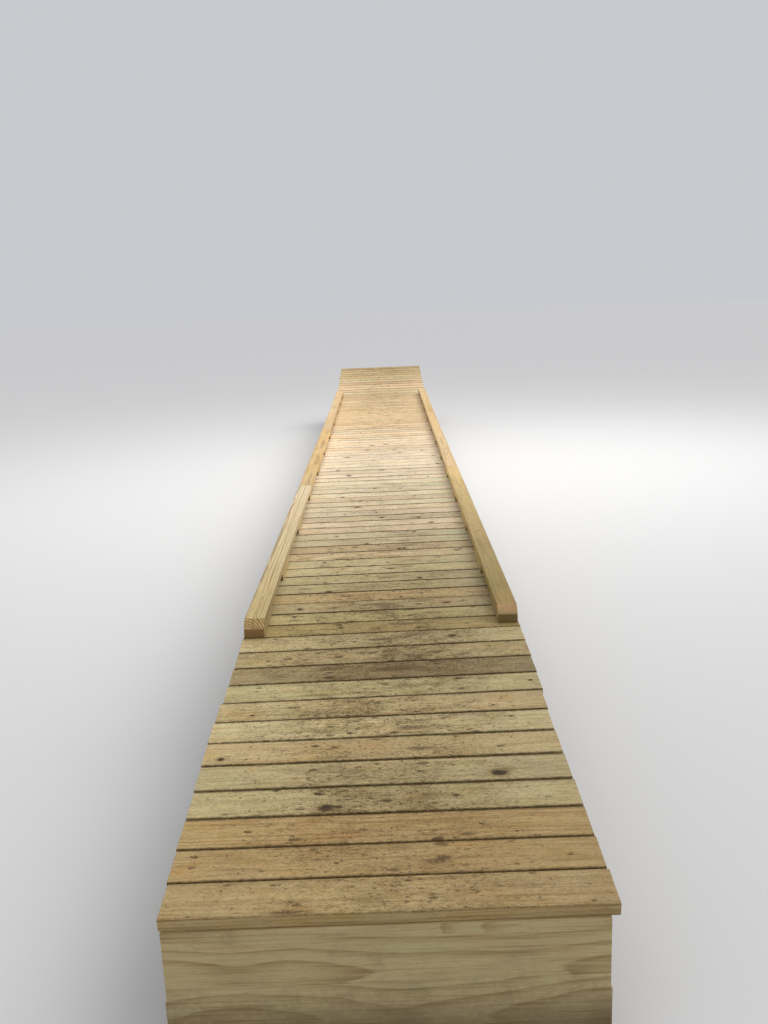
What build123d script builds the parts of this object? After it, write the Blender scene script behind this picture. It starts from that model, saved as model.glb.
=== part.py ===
from build123d import *
import math
import os

os.makedirs("parts", exist_ok=True)

# ---------------------------------------------------------------------------
# Timber footbridge: crosswise planks on three lines of stringers, a level
# main deck in three equal spans, a short approach ramp at each end, and low
# curb rails on spacer blocks along both sides of the main deck.
#
# Millimetres.  +Y runs along the bridge from the near end to the far end,
# +X to the right, +Z up.  The origin is in the middle of the bridge at the
# level of its feet.
#
# Lengths along the bridge are first laid out from the fold between the near
# ramp and the main deck ("station 0"), and Y0 moves them to the origin.
# ---------------------------------------------------------------------------

# --- timber sizes ----------------------------------------------------------
plank_w = 139.7          # dressed 2 x 6
plank_t = 38.1
plank_len = 1219.2       # four feet, the deck width
plank_gap = 6.4
pitch = plank_w + plank_gap

stringer_t = 38.1        # dressed 2 x 10, on edge
stringer_d = 235.0
stringer_x = 430.0       # outer stringer lines, under the two rows of screws
post_s = 140.0           # dressed 6 x 6, for caps, sleepers and abutments

rail_w = 88.9            # dressed 2 x 4, laid flat
rail_t = 38.1
block_len = 304.8
block_t = 38.1
rail_x = 561.0           # middle of the curb, left and right

# --- layout ----------------------------------------------------------------
near_planks = 12
span_planks = 21
far_planks = 12
near_slope = 3.82        # degrees
far_slope = 7.40
rise_3 = 38.0            # the third span climbs this much

deck_h = plank_t + stringer_d + 2 * post_s      # top of the level deck
span = span_planks * pitch
st_1 = span
st_2 = 2 * span
slope_3 = math.degrees(math.asin(rise_3 / span))
st_3 = st_2 + span * math.cos(math.radians(slope_3))

na = math.radians(near_slope)
fa = math.radians(far_slope)
ta = math.radians(slope_3)
near_run = near_planks * pitch * math.cos(na)
near_drop = near_planks * pitch * math.sin(na)
far_run = far_planks * pitch * math.cos(fa)
far_rise = far_planks * pitch * math.sin(fa)
st_near = -near_run
st_far = st_3 + far_run
deck_h3 = deck_h + rise_3

Y0 = (st_near + st_far) / 2 + 1.1

# --- how each plank lies ---------------------------------------------------
# sideways shift of each near-ramp plank, its place along the slope, and its
# skew (mm along the bridge per mm across), as the boards were laid
near_shift = [9.6, 4.9, 2.1, 1.4, -2.4, -5.1, -7.9, -5.6, 0.6, 0.9, 1.1, -0.6]
near_move = [0.0, -2.0, -3.5, -2.5, 0.0, 1.8, 1.6, 0.4, -0.6, -0.8, -0.6, 0.0]
near_skew = [0.0, 0.0, 0.0, 0.0, 0.002, 0.006, 0.011, 0.016, 0.020, 0.022,
             0.023, 0.024]


def wobble(i, amount):
    """A small uneven amount for plank number i."""
    v = math.sin(12.9898 * i + 4.1) * 43758.5453
    return (v - math.floor(v) - 0.5) * 2.0 * amount


def main_skew(i):
    if i <= 30:
        return 0.024 - 0.008 * i / 30.0
    return 0.016 * max(0.0, 1.0 - (i - 30) / 24.0)


def plank(st, z_top, slope, shift, skew):
    """One plank with the middle of its top face at station st."""
    a = math.radians(slope)
    y = st - Y0 + math.sin(a) * plank_t / 2
    z = z_top - math.cos(a) * plank_t / 2
    with Locations(Location((shift, y, z), (slope, 0, 0))):
        with Locations(Location((0, 0, 0), (0, 0, math.degrees(math.atan(skew))))):
            Box(plank_len, plank_w, plank_t)


def outline(points):
    """Stations and heights of a side-view outline, as sketch coordinates."""
    return [(s - Y0, z) for s, z in points]


def write(builder, name):
    builder.part.label = name
    export_step(builder.part, "parts/" + name + ".step")


# ---------------------------------------------------------------------------
# deck planks
# ---------------------------------------------------------------------------
with BuildPart() as near_ramp_planks:
    for i in range(near_planks):
        s = (i + 0.5 - near_planks) * pitch + near_move[i]
        plank(s * math.cos(na), deck_h + s * math.sin(na), near_slope,
              near_shift[i], near_skew[i])
write(near_ramp_planks, "near_ramp_planks")

with BuildPart() as deck_planks_1:
    for i in range(span_planks):
        plank((i + 0.5) * pitch, deck_h, 0, wobble(i, 4.0), main_skew(i))
write(deck_planks_1, "deck_planks_1")

with BuildPart() as deck_planks_2:
    for i in range(span_planks):
        n = i + span_planks
        plank(st_1 + (i + 0.5) * pitch, deck_h, 0, wobble(n, 4.0), main_skew(n))
write(deck_planks_2, "deck_planks_2")

with BuildPart() as deck_planks_3:
    for i in range(span_planks):
        n = i + 2 * span_planks
        s = (i + 0.5) * pitch
        plank(st_2 + s * math.cos(ta), deck_h + s * math.sin(ta), slope_3,
              wobble(n, 4.0), main_skew(n))
write(deck_planks_3, "deck_planks_3")

with BuildPart() as far_ramp_planks:
    for i in range(far_planks):
        n = i + 3 * span_planks
        s = (i + 0.5) * pitch
        plank(st_3 + s * math.cos(fa), deck_h3 + s * math.sin(fa), far_slope,
              wobble(n, 4.0), 0.0)
write(far_ramp_planks, "far_ramp_planks")

# ---------------------------------------------------------------------------
# stringers: three lines, on edge, seated level on the pier caps
# ---------------------------------------------------------------------------
top = deck_h - plank_t                     # underside of the level planks
seat = 2 * post_s                          # top of a pier cap
seat_3 = seat + rise_3                     # top of the plate on the last pier
half_cap = post_s / 2


def near_under(s):
    return deck_h - plank_t / math.cos(na) + s * math.tan(na)


def far_under(s):
    return deck_h3 - plank_t / math.cos(fa) + (s - st_3) * math.tan(fa)


near_seat = post_s + 38.1                  # abutment timber and its plate
near_in = st_near + plank_t                # stringer end, behind the header
near_heel = st_near + post_s
far_seat = 4 * post_s
far_in = st_far - plank_t
far_heel = st_far - post_s
lap = stringer_t                           # ramp stringers lap the main ones
ease = 0.15                                # planed off where the grade changes

stringer_lines = [-stringer_x, 0.0, stringer_x]
lapped_lines = [-stringer_x + lap, lap, stringer_x - lap]


with BuildPart() as span_1_stringers:
    for x in stringer_lines:
        with BuildSketch(Plane.YZ.offset(x - stringer_t / 2)):
            with BuildLine():
                Polyline(outline([
                    (-half_cap, seat), (st_1, seat), (st_1, top),
                    (half_cap, top), (0.0, near_under(0.0)),
                    (-half_cap, near_under(-half_cap))]), close=True)
            make_face()
        extrude(amount=stringer_t)
write(span_1_stringers, "span_1_stringers")

with BuildPart() as span_2_stringers:
    for x in stringer_lines:
        with BuildSketch(Plane.YZ.offset(x - stringer_t / 2)):
            with BuildLine():
                Polyline(outline([
                    (st_1, seat), (st_2, seat), (st_2, top - ease),
                    (st_2 - 8.0, top), (st_1, top)]), close=True)
            make_face()
        extrude(amount=stringer_t)
write(span_2_stringers, "span_2_stringers")

top_3 = deck_h3 - plank_t / math.cos(ta)
with BuildPart() as span_3_stringers:
    for x in stringer_lines:
        with BuildSketch(Plane.YZ.offset(x - stringer_t / 2)):
            with BuildLine():
                Polyline(outline([
                    (st_2, seat), (st_2 + half_cap, seat),
                    (st_3 - half_cap, seat_3), (st_3, seat_3), (st_3, top_3),
                    (st_2 + 8.0, top), (st_2, top - ease)]), close=True)
            make_face()
        extrude(amount=stringer_t)
write(span_3_stringers, "span_3_stringers")

with BuildPart() as near_ramp_stringers:
    for x in lapped_lines:
        with BuildSketch(Plane.YZ.offset(x - stringer_t / 2)):
            with BuildLine():
                Polyline(outline([
                    (near_in, near_seat), (near_heel, near_seat),
                    (-half_cap, seat), (half_cap, seat), (half_cap, top),
                    (0.0, near_under(0.0)),
                    (near_in, near_under(near_in))]), close=True)
            make_face()
        extrude(amount=stringer_t)
write(near_ramp_stringers, "near_ramp_stringers")

far_depth = stringer_d / math.cos(fa)
far_low = st_3 + (seat_3 - far_under(st_3) + far_depth) / math.tan(fa)
with BuildPart() as far_ramp_stringers:
    for x in lapped_lines:
        with BuildSketch(Plane.YZ.offset(x - stringer_t / 2)):
            with BuildLine():
                Polyline(outline([
                    (st_3 - half_cap, seat_3), (far_low, seat_3),
                    (far_heel, far_under(far_heel) - far_depth),
                    (far_heel, far_seat), (far_in, far_seat),
                    (far_in, far_under(far_in)),
                    (st_3 - half_cap, far_under(st_3 - half_cap))]), close=True)
            make_face()
        extrude(amount=stringer_t)
write(far_ramp_stringers, "far_ramp_stringers")

# headers closing the two ends under the first and the last plank
header_len = 1190.0
with BuildPart() as near_header:
    with BuildSketch(Plane.YZ.offset(-header_len / 2)):
        with BuildLine():
            Polyline(outline([
                (st_near, near_seat), (near_in, near_seat),
                (near_in, near_under(near_in)),
                (st_near, near_under(st_near))]), close=True)
        make_face()
    extrude(amount=header_len)
write(near_header, "near_header")

with BuildPart() as far_header:
    with BuildSketch(Plane.YZ.offset(-header_len / 2)):
        with BuildLine():
            Polyline(outline([
                (far_in, far_seat), (st_far, far_seat),
                (st_far, far_under(st_far)),
                (far_in, far_under(far_in))]), close=True)
        make_face()
    extrude(amount=header_len)
write(far_header, "far_header")

# ---------------------------------------------------------------------------
# solid blocking between the stringer lines, mid-span
# ---------------------------------------------------------------------------
block_gap = stringer_x - stringer_t        # clear width between two lines
blocking_d = 220.0
gap_middles = [-stringer_x / 2, stringer_x / 2]


def blocking_outline(station, z_under, dz):
    e = station + stringer_t
    return outline([(station, z_under), (e, z_under + dz),
                    (e, z_under + dz + blocking_d),
                    (station, z_under + blocking_d)])


with BuildPart() as span_1_blocking:
    for x in gap_middles:
        with BuildSketch(Plane.YZ.offset(x - block_gap / 2)):
            with BuildLine():
                Polyline(blocking_outline(span / 2, seat + 5.0, 0.0),
                         close=True)
            make_face()
        extrude(amount=block_gap)
write(span_1_blocking, "span_1_blocking")

with BuildPart() as span_2_blocking:
    for x in gap_middles:
        with BuildSketch(Plane.YZ.offset(x - block_gap / 2)):
            with BuildLine():
                Polyline(blocking_outline(st_1 + span / 2, seat + 5.0, 0.0),
                         close=True)
            make_face()
        extrude(amount=block_gap)
write(span_2_blocking, "span_2_blocking")

with BuildPart() as span_3_blocking:
    for x in gap_middles:
        with BuildSketch(Plane.YZ.offset(x - block_gap / 2)):
            with BuildLine():
                Polyline(blocking_outline(st_2 + span / 2,
                                          seat + 5.0 + rise_3 / 2,
                                          stringer_t * math.tan(ta)),
                         close=True)
            make_face()
        extrude(amount=block_gap)
write(span_3_blocking, "span_3_blocking")

# ---------------------------------------------------------------------------
# curbs: flat rails with bevelled ends, on short blocks with scuppers between
# ---------------------------------------------------------------------------
left_starts = [-10.0, 810.0, 1770.0, 2720.0, 3660.0, 4600.0, 5540.0,
               6480.0, 7420.0, 8120.0, 8815.2]
right_starts = [60.0, 820.0, 1690.0, 2520.0, 3340.0, 4160.0, 4990.0,
                5820.0, 6640.0, 7460.0, 8200.0, 8755.2]
left_joints = [left_starts[0], 2890.0, 5700.0, left_starts[-1] + block_len]
right_joints = [right_starts[0], 3431.0, 6700.0, right_starts[-1] + block_len]


def deck_z(s):
    """Height of the main deck's top at station s."""
    if s <= st_2:
        return deck_h
    return deck_h + (s - st_2) * math.tan(ta)


def curb_block(s):
    """Side outline of one spacer block standing on the deck."""
    e = s + block_len
    return outline([(s, deck_z(s)), (e, deck_z(e)),
                    (e, deck_z(e) + block_t), (s, deck_z(s) + block_t)])


def curb_rail(s, e, bevel_start, bevel_end):
    """Side outline of one rail, bent where the deck starts to climb."""
    low = [(s, deck_z(s) + block_t)]
    high = [(s + (rail_t if bevel_start else 0), deck_z(s) + block_t + rail_t)]
    if s < st_2 < e:
        low.append((st_2, deck_z(st_2) + block_t))
        high.append((st_2, deck_z(st_2) + block_t + rail_t))
    low.append((e, deck_z(e) + block_t))
    e_top = e - (rail_t if bevel_end else 0)
    high.append((e_top, deck_z(e_top) + block_t + rail_t))
    return outline(low + high[::-1])


with BuildPart() as left_curb_blocks_1:
    for s in left_starts[:6]:
        with BuildSketch(Plane.YZ.offset(-rail_x - rail_w / 2)):
            with BuildLine():
                Polyline(curb_block(s), close=True)
            make_face()
        extrude(amount=rail_w)
write(left_curb_blocks_1, "left_curb_blocks_1")

with BuildPart() as left_curb_blocks_2:
    for s in left_starts[6:]:
        with BuildSketch(Plane.YZ.offset(-rail_x - rail_w / 2)):
            with BuildLine():
                Polyline(curb_block(s), close=True)
            make_face()
        extrude(amount=rail_w)
write(left_curb_blocks_2, "left_curb_blocks_2")

with BuildPart() as right_curb_blocks_1:
    for s in right_starts[:6]:
        with BuildSketch(Plane.YZ.offset(rail_x - rail_w / 2)):
            with BuildLine():
                Polyline(curb_block(s), close=True)
            make_face()
        extrude(amount=rail_w)
write(right_curb_blocks_1, "right_curb_blocks_1")

with BuildPart() as right_curb_blocks_2:
    for s in right_starts[6:]:
        with BuildSketch(Plane.YZ.offset(rail_x - rail_w / 2)):
            with BuildLine():
                Polyline(curb_block(s), close=True)
            make_face()
        extrude(amount=rail_w)
write(right_curb_blocks_2, "right_curb_blocks_2")

with BuildPart() as left_curb_rail_1:
    with BuildSketch(Plane.YZ.offset(-rail_x - rail_w / 2)):
        with BuildLine():
            Polyline(curb_rail(left_joints[0], left_joints[1], True, False), close=True)
        make_face()
    extrude(amount=rail_w)
write(left_curb_rail_1, "left_curb_rail_1")

with BuildPart() as left_curb_rail_2:
    with BuildSketch(Plane.YZ.offset(-rail_x - rail_w / 2)):
        with BuildLine():
            Polyline(curb_rail(left_joints[1], left_joints[2], False, False), close=True)
        make_face()
    extrude(amount=rail_w)
write(left_curb_rail_2, "left_curb_rail_2")

with BuildPart() as left_curb_rail_3:
    with BuildSketch(Plane.YZ.offset(-rail_x - rail_w / 2)):
        with BuildLine():
            Polyline(curb_rail(left_joints[2], left_joints[3], False, True), close=True)
        make_face()
    extrude(amount=rail_w)
write(left_curb_rail_3, "left_curb_rail_3")

with BuildPart() as right_curb_rail_1:
    with BuildSketch(Plane.YZ.offset(rail_x - rail_w / 2)):
        with BuildLine():
            Polyline(curb_rail(right_joints[0], right_joints[1], True, False), close=True)
        make_face()
    extrude(amount=rail_w)
write(right_curb_rail_1, "right_curb_rail_1")

with BuildPart() as right_curb_rail_2:
    with BuildSketch(Plane.YZ.offset(rail_x - rail_w / 2)):
        with BuildLine():
            Polyline(curb_rail(right_joints[1], right_joints[2], False, False), close=True)
        make_face()
    extrude(amount=rail_w)
write(right_curb_rail_2, "right_curb_rail_2")

with BuildPart() as right_curb_rail_3:
    with BuildSketch(Plane.YZ.offset(rail_x - rail_w / 2)):
        with BuildLine():
            Polyline(curb_rail(right_joints[2], right_joints[3], False, True), close=True)
        make_face()
    extrude(amount=rail_w)
write(right_curb_rail_3, "right_curb_rail_3")

# ---------------------------------------------------------------------------
# piers: two sleepers along the bridge, with a cap timber across them
# ---------------------------------------------------------------------------
cap_len = 1200.0
sleeper_len = 600.0
sleeper_x = stringer_x


def sleepers(station):
    for x in (-sleeper_x, sleeper_x):
        with Locations((x, station - Y0, post_s / 2)):
            Box(post_s, sleeper_len, post_s)


def cross_timber(station, z, width=post_s, height=post_s):
    with Locations((0, station - Y0, z + height / 2)):
        Box(cap_len, width, height)


with BuildPart() as pier_1_sleepers:
    sleepers(0.0)
write(pier_1_sleepers, "pier_1_sleepers")

with BuildPart() as pier_2_sleepers:
    sleepers(st_1)
write(pier_2_sleepers, "pier_2_sleepers")

with BuildPart() as pier_3_sleepers:
    sleepers(st_2)
write(pier_3_sleepers, "pier_3_sleepers")

with BuildPart() as pier_4_sleepers:
    sleepers(st_3)
write(pier_4_sleepers, "pier_4_sleepers")

with BuildPart() as pier_1_cap:
    cross_timber(0.0, post_s)
write(pier_1_cap, "pier_1_cap")

with BuildPart() as pier_2_cap:
    cross_timber(st_1, post_s)
write(pier_2_cap, "pier_2_cap")

with BuildPart() as pier_3_cap:
    cross_timber(st_2, post_s)
write(pier_3_cap, "pier_3_cap")

with BuildPart() as pier_4_cap:
    cross_timber(st_3, post_s)
write(pier_4_cap, "pier_4_cap")

with BuildPart() as pier_4_plate:
    cross_timber(st_3, 2 * post_s, height=rise_3)
write(pier_4_plate, "pier_4_plate")

# ---------------------------------------------------------------------------
# abutments: stacked timbers under the two ends
# ---------------------------------------------------------------------------
with BuildPart() as near_abutment_timber:
    cross_timber(st_near + post_s / 2, 0.0)
write(near_abutment_timber, "near_abutment_timber")

with BuildPart() as near_abutment_plate:
    cross_timber(st_near + post_s / 2, post_s, height=38.1)
write(near_abutment_plate, "near_abutment_plate")

with BuildPart() as far_abutment_timber_1:
    cross_timber(st_far - post_s / 2, 0.0)
write(far_abutment_timber_1, "far_abutment_timber_1")

with BuildPart() as far_abutment_timber_2:
    cross_timber(st_far - post_s / 2, post_s)
write(far_abutment_timber_2, "far_abutment_timber_2")

with BuildPart() as far_abutment_timber_3:
    cross_timber(st_far - post_s / 2, 2 * post_s)
write(far_abutment_timber_3, "far_abutment_timber_3")

with BuildPart() as far_abutment_timber_4:
    cross_timber(st_far - post_s / 2, 3 * post_s)
write(far_abutment_timber_4, "far_abutment_timber_4")

print("deck top", round(deck_h, 1), "third pier", round(deck_h3, 1),
      "far end", round(deck_h3 + far_rise, 1), "near end", round(deck_h - near_drop, 1))
print("stations", round(st_near, 1), 0, round(st_1, 1), round(st_2, 1),
      round(st_3, 1), round(st_far, 1), "origin at", round(Y0, 2))
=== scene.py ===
import math
import random

import bpy
from mathutils import Matrix, Vector


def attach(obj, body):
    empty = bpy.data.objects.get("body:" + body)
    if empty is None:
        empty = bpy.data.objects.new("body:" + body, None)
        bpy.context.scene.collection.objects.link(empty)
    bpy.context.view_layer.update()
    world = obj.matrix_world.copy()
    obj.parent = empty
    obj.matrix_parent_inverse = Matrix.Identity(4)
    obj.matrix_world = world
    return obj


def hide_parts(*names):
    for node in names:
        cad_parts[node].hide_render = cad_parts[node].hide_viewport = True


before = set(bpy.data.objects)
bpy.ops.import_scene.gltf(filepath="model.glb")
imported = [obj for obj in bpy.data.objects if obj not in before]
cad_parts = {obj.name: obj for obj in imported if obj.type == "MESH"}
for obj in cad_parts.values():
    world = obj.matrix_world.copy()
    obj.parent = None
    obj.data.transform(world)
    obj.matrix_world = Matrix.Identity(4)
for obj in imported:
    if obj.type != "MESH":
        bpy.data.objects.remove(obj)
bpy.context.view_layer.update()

# ---------------------------------------------------------------------------
# layout, in metres: the same numbers as the CAD part
# ---------------------------------------------------------------------------
W = 0.1397
T = 0.0381
L = 1.2192
PITCH = 0.1461
STRINGER_D = 0.235
POST = 0.140
RAIL_W = 0.0889
RAIL_T = 0.0381
BLOCK_LEN = 0.3048
BLOCK_T = 0.0381
RAIL_X = 0.561
SPAN_N, NEAR_N, FAR_N = 21, 12, 12
RISE_3 = 0.038

NA = math.radians(3.82)
FA = math.radians(7.40)
SPAN = SPAN_N * PITCH
TA = math.asin(RISE_3 / SPAN)
ST_1, ST_2 = SPAN, 2 * SPAN
ST_3 = ST_2 + SPAN * math.cos(TA)
DECK_H = T + STRINGER_D + 2 * POST
DECK_H3 = DECK_H + RISE_3
ST_NEAR = -NEAR_N * PITCH * math.cos(NA)
ST_FAR = ST_3 + FAR_N * PITCH * math.cos(FA)
Y0 = (ST_NEAR + ST_FAR) / 2 + 0.0011

NEAR_SHIFT = [9.6, 4.9, 2.1, 1.4, -2.4, -5.1, -7.9, -5.6, 0.6, 0.9, 1.1, -0.6]
NEAR_MOVE = [0.0, -2.0, -3.5, -2.5, 0.0, 1.8, 1.6, 0.4, -0.6, -0.8, -0.6, 0.0]
NEAR_SKEW = [0, 0, 0, 0, .002, .006, .011, .016, .020, .022, .023, .024]


def wobble(i, amount):
    v = math.sin(12.9898 * i + 4.1) * 43758.5453
    return (v - math.floor(v) - 0.5) * 2.0 * amount


def main_skew(i):
    if i <= 30:
        return 0.024 - 0.008 * i / 30.0
    return 0.016 * max(0.0, 1.0 - (i - 30) / 24.0)


def deck_z(s):
    return DECK_H if s <= ST_2 else DECK_H + (s - ST_2) * math.tan(TA)


# ---------------------------------------------------------------------------
# a small helper for writing shader trees
# ---------------------------------------------------------------------------
def lin(r, g, b):
    """A colour given as 0-255 screen values, in linear light."""
    out = []
    for c in (r, g, b):
        c /= 255.0
        out.append(c / 12.92 if c <= 0.04045 else ((c + 0.055) / 1.055) ** 2.4)
    return (out[0], out[1], out[2], 1.0)


class Tree:
    def __init__(self, nt):
        self.nt = nt

    def node(self, kind, **props):
        n = self.nt.nodes.new(kind)
        for k, v in props.items():
            setattr(n, k, v)
        return n

    def put(self, socket, value):
        if isinstance(value, bpy.types.NodeSocket):
            self.nt.links.new(value, socket)
        elif value is not None:
            socket.default_value = value

    def m(self, op, a, b=None, c=None, clamp=False):
        n = self.node("ShaderNodeMath", operation=op, use_clamp=clamp)
        self.put(n.inputs[0], a)
        self.put(n.inputs[1], b)
        self.put(n.inputs[2], c)
        return n.outputs[0]

    def add(self, a, b):
        return self.m("ADD", a, b)

    def sub(self, a, b):
        return self.m("SUBTRACT", a, b)

    def mul(self, a, b):
        return self.m("MULTIPLY", a, b)

    def div(self, a, b):
        return self.m("DIVIDE", a, b)

    def madd(self, a, b, c):
        return self.m("MULTIPLY_ADD", a, b, c)

    def inv(self, a):
        return self.m("SUBTRACT", 1.0, a)

    def step(self, x, a, b, lo=0.0, hi=1.0):
        n = self.node("ShaderNodeMapRange", interpolation_type="SMOOTHSTEP")
        for i, v in enumerate((x, a, b, lo, hi)):
            self.put(n.inputs[i], v)
        return n.outputs[0]

    def ramp_lin(self, x, a, b, lo=0.0, hi=1.0):
        n = self.node("ShaderNodeMapRange", interpolation_type="LINEAR", clamp=True)
        for i, v in enumerate((x, a, b, lo, hi)):
            self.put(n.inputs[i], v)
        return n.outputs[0]

    def xyz(self, x, y, z):
        n = self.node("ShaderNodeCombineXYZ")
        for i, v in enumerate((x, y, z)):
            self.put(n.inputs[i], v)
        return n.outputs[0]

    def sep(self, v):
        n = self.node("ShaderNodeSeparateXYZ")
        self.put(n.inputs[0], v)
        return n.outputs[0], n.outputs[1], n.outputs[2]

    def vm(self, op, a, b=None):
        n = self.node("ShaderNodeVectorMath", operation=op)
        self.put(n.inputs[0], a)
        if b is not None:
            self.put(n.inputs[1], b)
        return n.outputs["Value"] if op in ("LENGTH", "DOT_PRODUCT", "DISTANCE") else n.outputs[0]

    def noise(self, vec, scale=1.0, detail=2.0, rough=0.5, colour=False, dist=0.0):
        n = self.node("ShaderNodeTexNoise", noise_dimensions="3D")
        self.put(n.inputs["Vector"], vec)
        n.inputs["Scale"].default_value = scale
        n.inputs["Detail"].default_value = detail
        n.inputs["Roughness"].default_value = rough
        n.inputs["Distortion"].default_value = dist
        return n.outputs["Color"] if colour else n.outputs[0]

    def voronoi(self, vec, scale=1.0, rand=1.0):
        n = self.node("ShaderNodeTexVoronoi", feature="F1")
        self.put(n.inputs["Vector"], vec)
        n.inputs["Scale"].default_value = scale
        n.inputs["Randomness"].default_value = rand
        return n.outputs["Distance"], n.outputs["Color"]

    def mix(self, f, a, b):
        n = self.node("ShaderNodeMix", data_type="FLOAT")
        self.put(n.inputs[0], f)
        self.put(n.inputs[2], a)
        self.put(n.inputs[3], b)
        return n.outputs[0]

    def col(self, f, a, b, blend="MIX"):
        n = self.node("ShaderNodeMix", data_type="RGBA", blend_type=blend)
        self.put(n.inputs[0], f)
        self.put(n.inputs[6], a)
        self.put(n.inputs[7], b)
        return n.outputs[2]

    def attr(self, name):
        n = self.node("ShaderNodeAttribute", attribute_name=name)
        return n


# ---------------------------------------------------------------------------
# the wood: growth rings cut by the board's faces, fibres, checks and stains
# ---------------------------------------------------------------------------
def make_wood_group():
    g = bpy.data.node_groups.new("sawn_pine", "ShaderNodeTree")

    def socket(name, kind, out=False, value=None):
        s = g.interface.new_socket(
            name=name, in_out="OUTPUT" if out else "INPUT", socket_type=kind)
        if value is not None:
            s.default_value = value

    socket("Place", "NodeSocketVector")       # along, across, through, metres
    socket("Seed", "NodeSocketVector")
    socket("Pith", "NodeSocketVector")        # across, through, ring spacing
    socket("Tone", "NodeSocketVector")        # warm, green, dark
    socket("Cut", "NodeSocketFloat", value=0.0)
    socket("Contrast", "NodeSocketFloat", value=1.0)
    socket("Knot shift", "NodeSocketFloat", value=0.0)
    socket("Late from", "NodeSocketFloat", value=0.42)
    socket("Wander", "NodeSocketFloat", value=1.0)
    socket("End colour", "NodeSocketColor", value=(0.3, 0.2, 0.1, 1.0))
    socket("End rings", "NodeSocketFloat", value=0.6)
    socket("Color", "NodeSocketColor", out=True)
    socket("Roughness", "NodeSocketFloat", out=True)
    socket("Height", "NodeSocketFloat", out=True)

    t = Tree(g)
    gi = t.node("NodeGroupInput")
    go = t.node("NodeGroupOutput")
    (place, seed, pith, tone, cut, contrast, shift, late_from, roam, end_colour,
     end_rings) = [gi.outputs[i] for i in range(11)]
    u, v, w = t.sep(place)
    pv, pw, spacing = t.sep(pith)
    warm, green, dark = t.sep(tone)
    sx, sy, sz = t.sep(seed)

    # the pith wanders along the board, which opens arches on the flat faces
    wander = t.noise(t.xyz(t.madd(u, 1.25, sx), sy, sz), 1.0, 1.5, 0.5, colour=True)
    wr, wg, wb = t.sep(wander)
    dv = t.mul(t.madd(wr, 0.060, -0.030), roam)
    dw = t.mul(t.madd(wg, 0.034, -0.017), roam)
    a = t.sub(t.sub(v, pv), dv)
    b = t.sub(t.sub(w, pw), dw)
    r = t.m("SQRT", t.add(t.mul(a, a), t.mul(b, b)))
    fine = t.vm("ADD", t.vm("MULTIPLY", place, (2.6, 30.0, 30.0)), seed)
    wav = t.noise(fine, 1.0, 2.0, 0.55)
    r = t.add(r, t.madd(wav, 0.0042, -0.0021))
    uneven = t.noise(t.xyz(t.mul(r, 55.0), sy, sx), 1.0, 1.0, 0.5)
    phase = t.add(t.div(r, spacing), t.madd(uneven, 1.3, shift))
    saw = t.m("FRACT", phase)
    late = t.mul(t.step(saw, late_from, 0.92), t.step(saw, 1.0, 0.93))
    ring_no = t.m("FLOOR", phase)
    each = t.noise(t.xyz(t.mul(ring_no, 3.37), sz, sx), 1.0, 0.0, 0.5)
    late = t.mul(late, t.madd(each, 1.1, 0.42))

    # fibres, and broad streaks of stain that follow them
    fib_v = t.vm("ADD", t.vm("MULTIPLY", place, (10.0, 520.0, 520.0)), seed)
    fibre = t.noise(fib_v, 1.0, 2.0, 0.6)
    mid_v = t.vm("ADD", t.vm("MULTIPLY", place, (3.2, 120.0, 120.0)), seed)
    streak = t.noise(mid_v, 1.0, 2.0, 0.55)
    wide_v = t.vm("ADD", t.vm("MULTIPLY", place, (1.15, 17.0, 17.0)), seed)
    broad = t.noise(wide_v, 1.0, 2.0, 0.5)
    patch_v = t.vm("ADD", t.vm("MULTIPLY", place, (2.9, 7.0, 7.0)), seed)
    patch = t.noise(patch_v, 1.0, 3.0, 0.55, colour=True)
    pr, pg, pb = t.sep(patch)

    early_c = lin(203, 181, 131)
    late_c = lin(160, 132, 80)
    k = t.m("MULTIPLY", late, contrast, clamp=True)
    c = t.col(k, early_c, late_c)
    strong = t.m("MULTIPLY", t.madd(late, contrast, -0.62), 1.8, clamp=True)
    # treated sapwood is greenish where the salts stayed near the face
    gfac = t.m("MULTIPLY", t.step(t.add(broad, green), 0.42, 0.74), 0.62, clamp=True)
    c = t.col(gfac, c, t.col(k, lin(190, 180, 130), lin(152, 137, 86)))
    wfac = t.m("MULTIPLY", t.step(t.add(pg, warm), 0.50, 0.82), 0.62, clamp=True)
    c = t.col(wfac, c, t.col(k, lin(200, 168, 106), lin(160, 122, 66)))
    c = t.col(t.mul(strong, 0.55), c, lin(124, 102, 58))
    # pale and dull fibres
    c = t.col(t.step(streak, 0.34, 0.72, 0.0, 0.36), c, lin(216, 198, 152))
    c = t.col(t.step(streak, 0.47, 0.28, 0.0, 0.42), c, lin(150, 124, 80))
    c = t.col(t.step(fibre, 0.50, 0.80, 0.0, 0.50), c, lin(132, 106, 68))
    # short dark flecks along the grain
    fleck_v = t.vm("ADD", t.vm("MULTIPLY", place, (24.0, 260.0, 260.0)), t.vm("MULTIPLY", seed, (1.7, 1.3, 1.9)))
    fleck = t.step(t.noise(fleck_v, 1.0, 2.0, 0.6), 0.60, 0.74)
    c = t.col(t.mul(fleck, 0.48), c, lin(112, 84, 50))
    c = t.col(t.step(pr, 0.52, 0.80, 0.0, 0.26), c, lin(146, 124, 92))
    # darker boards
    c = t.col(t.m("MULTIPLY", dark, 1.0, clamp=True), c, lin(118, 98, 68))

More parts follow.
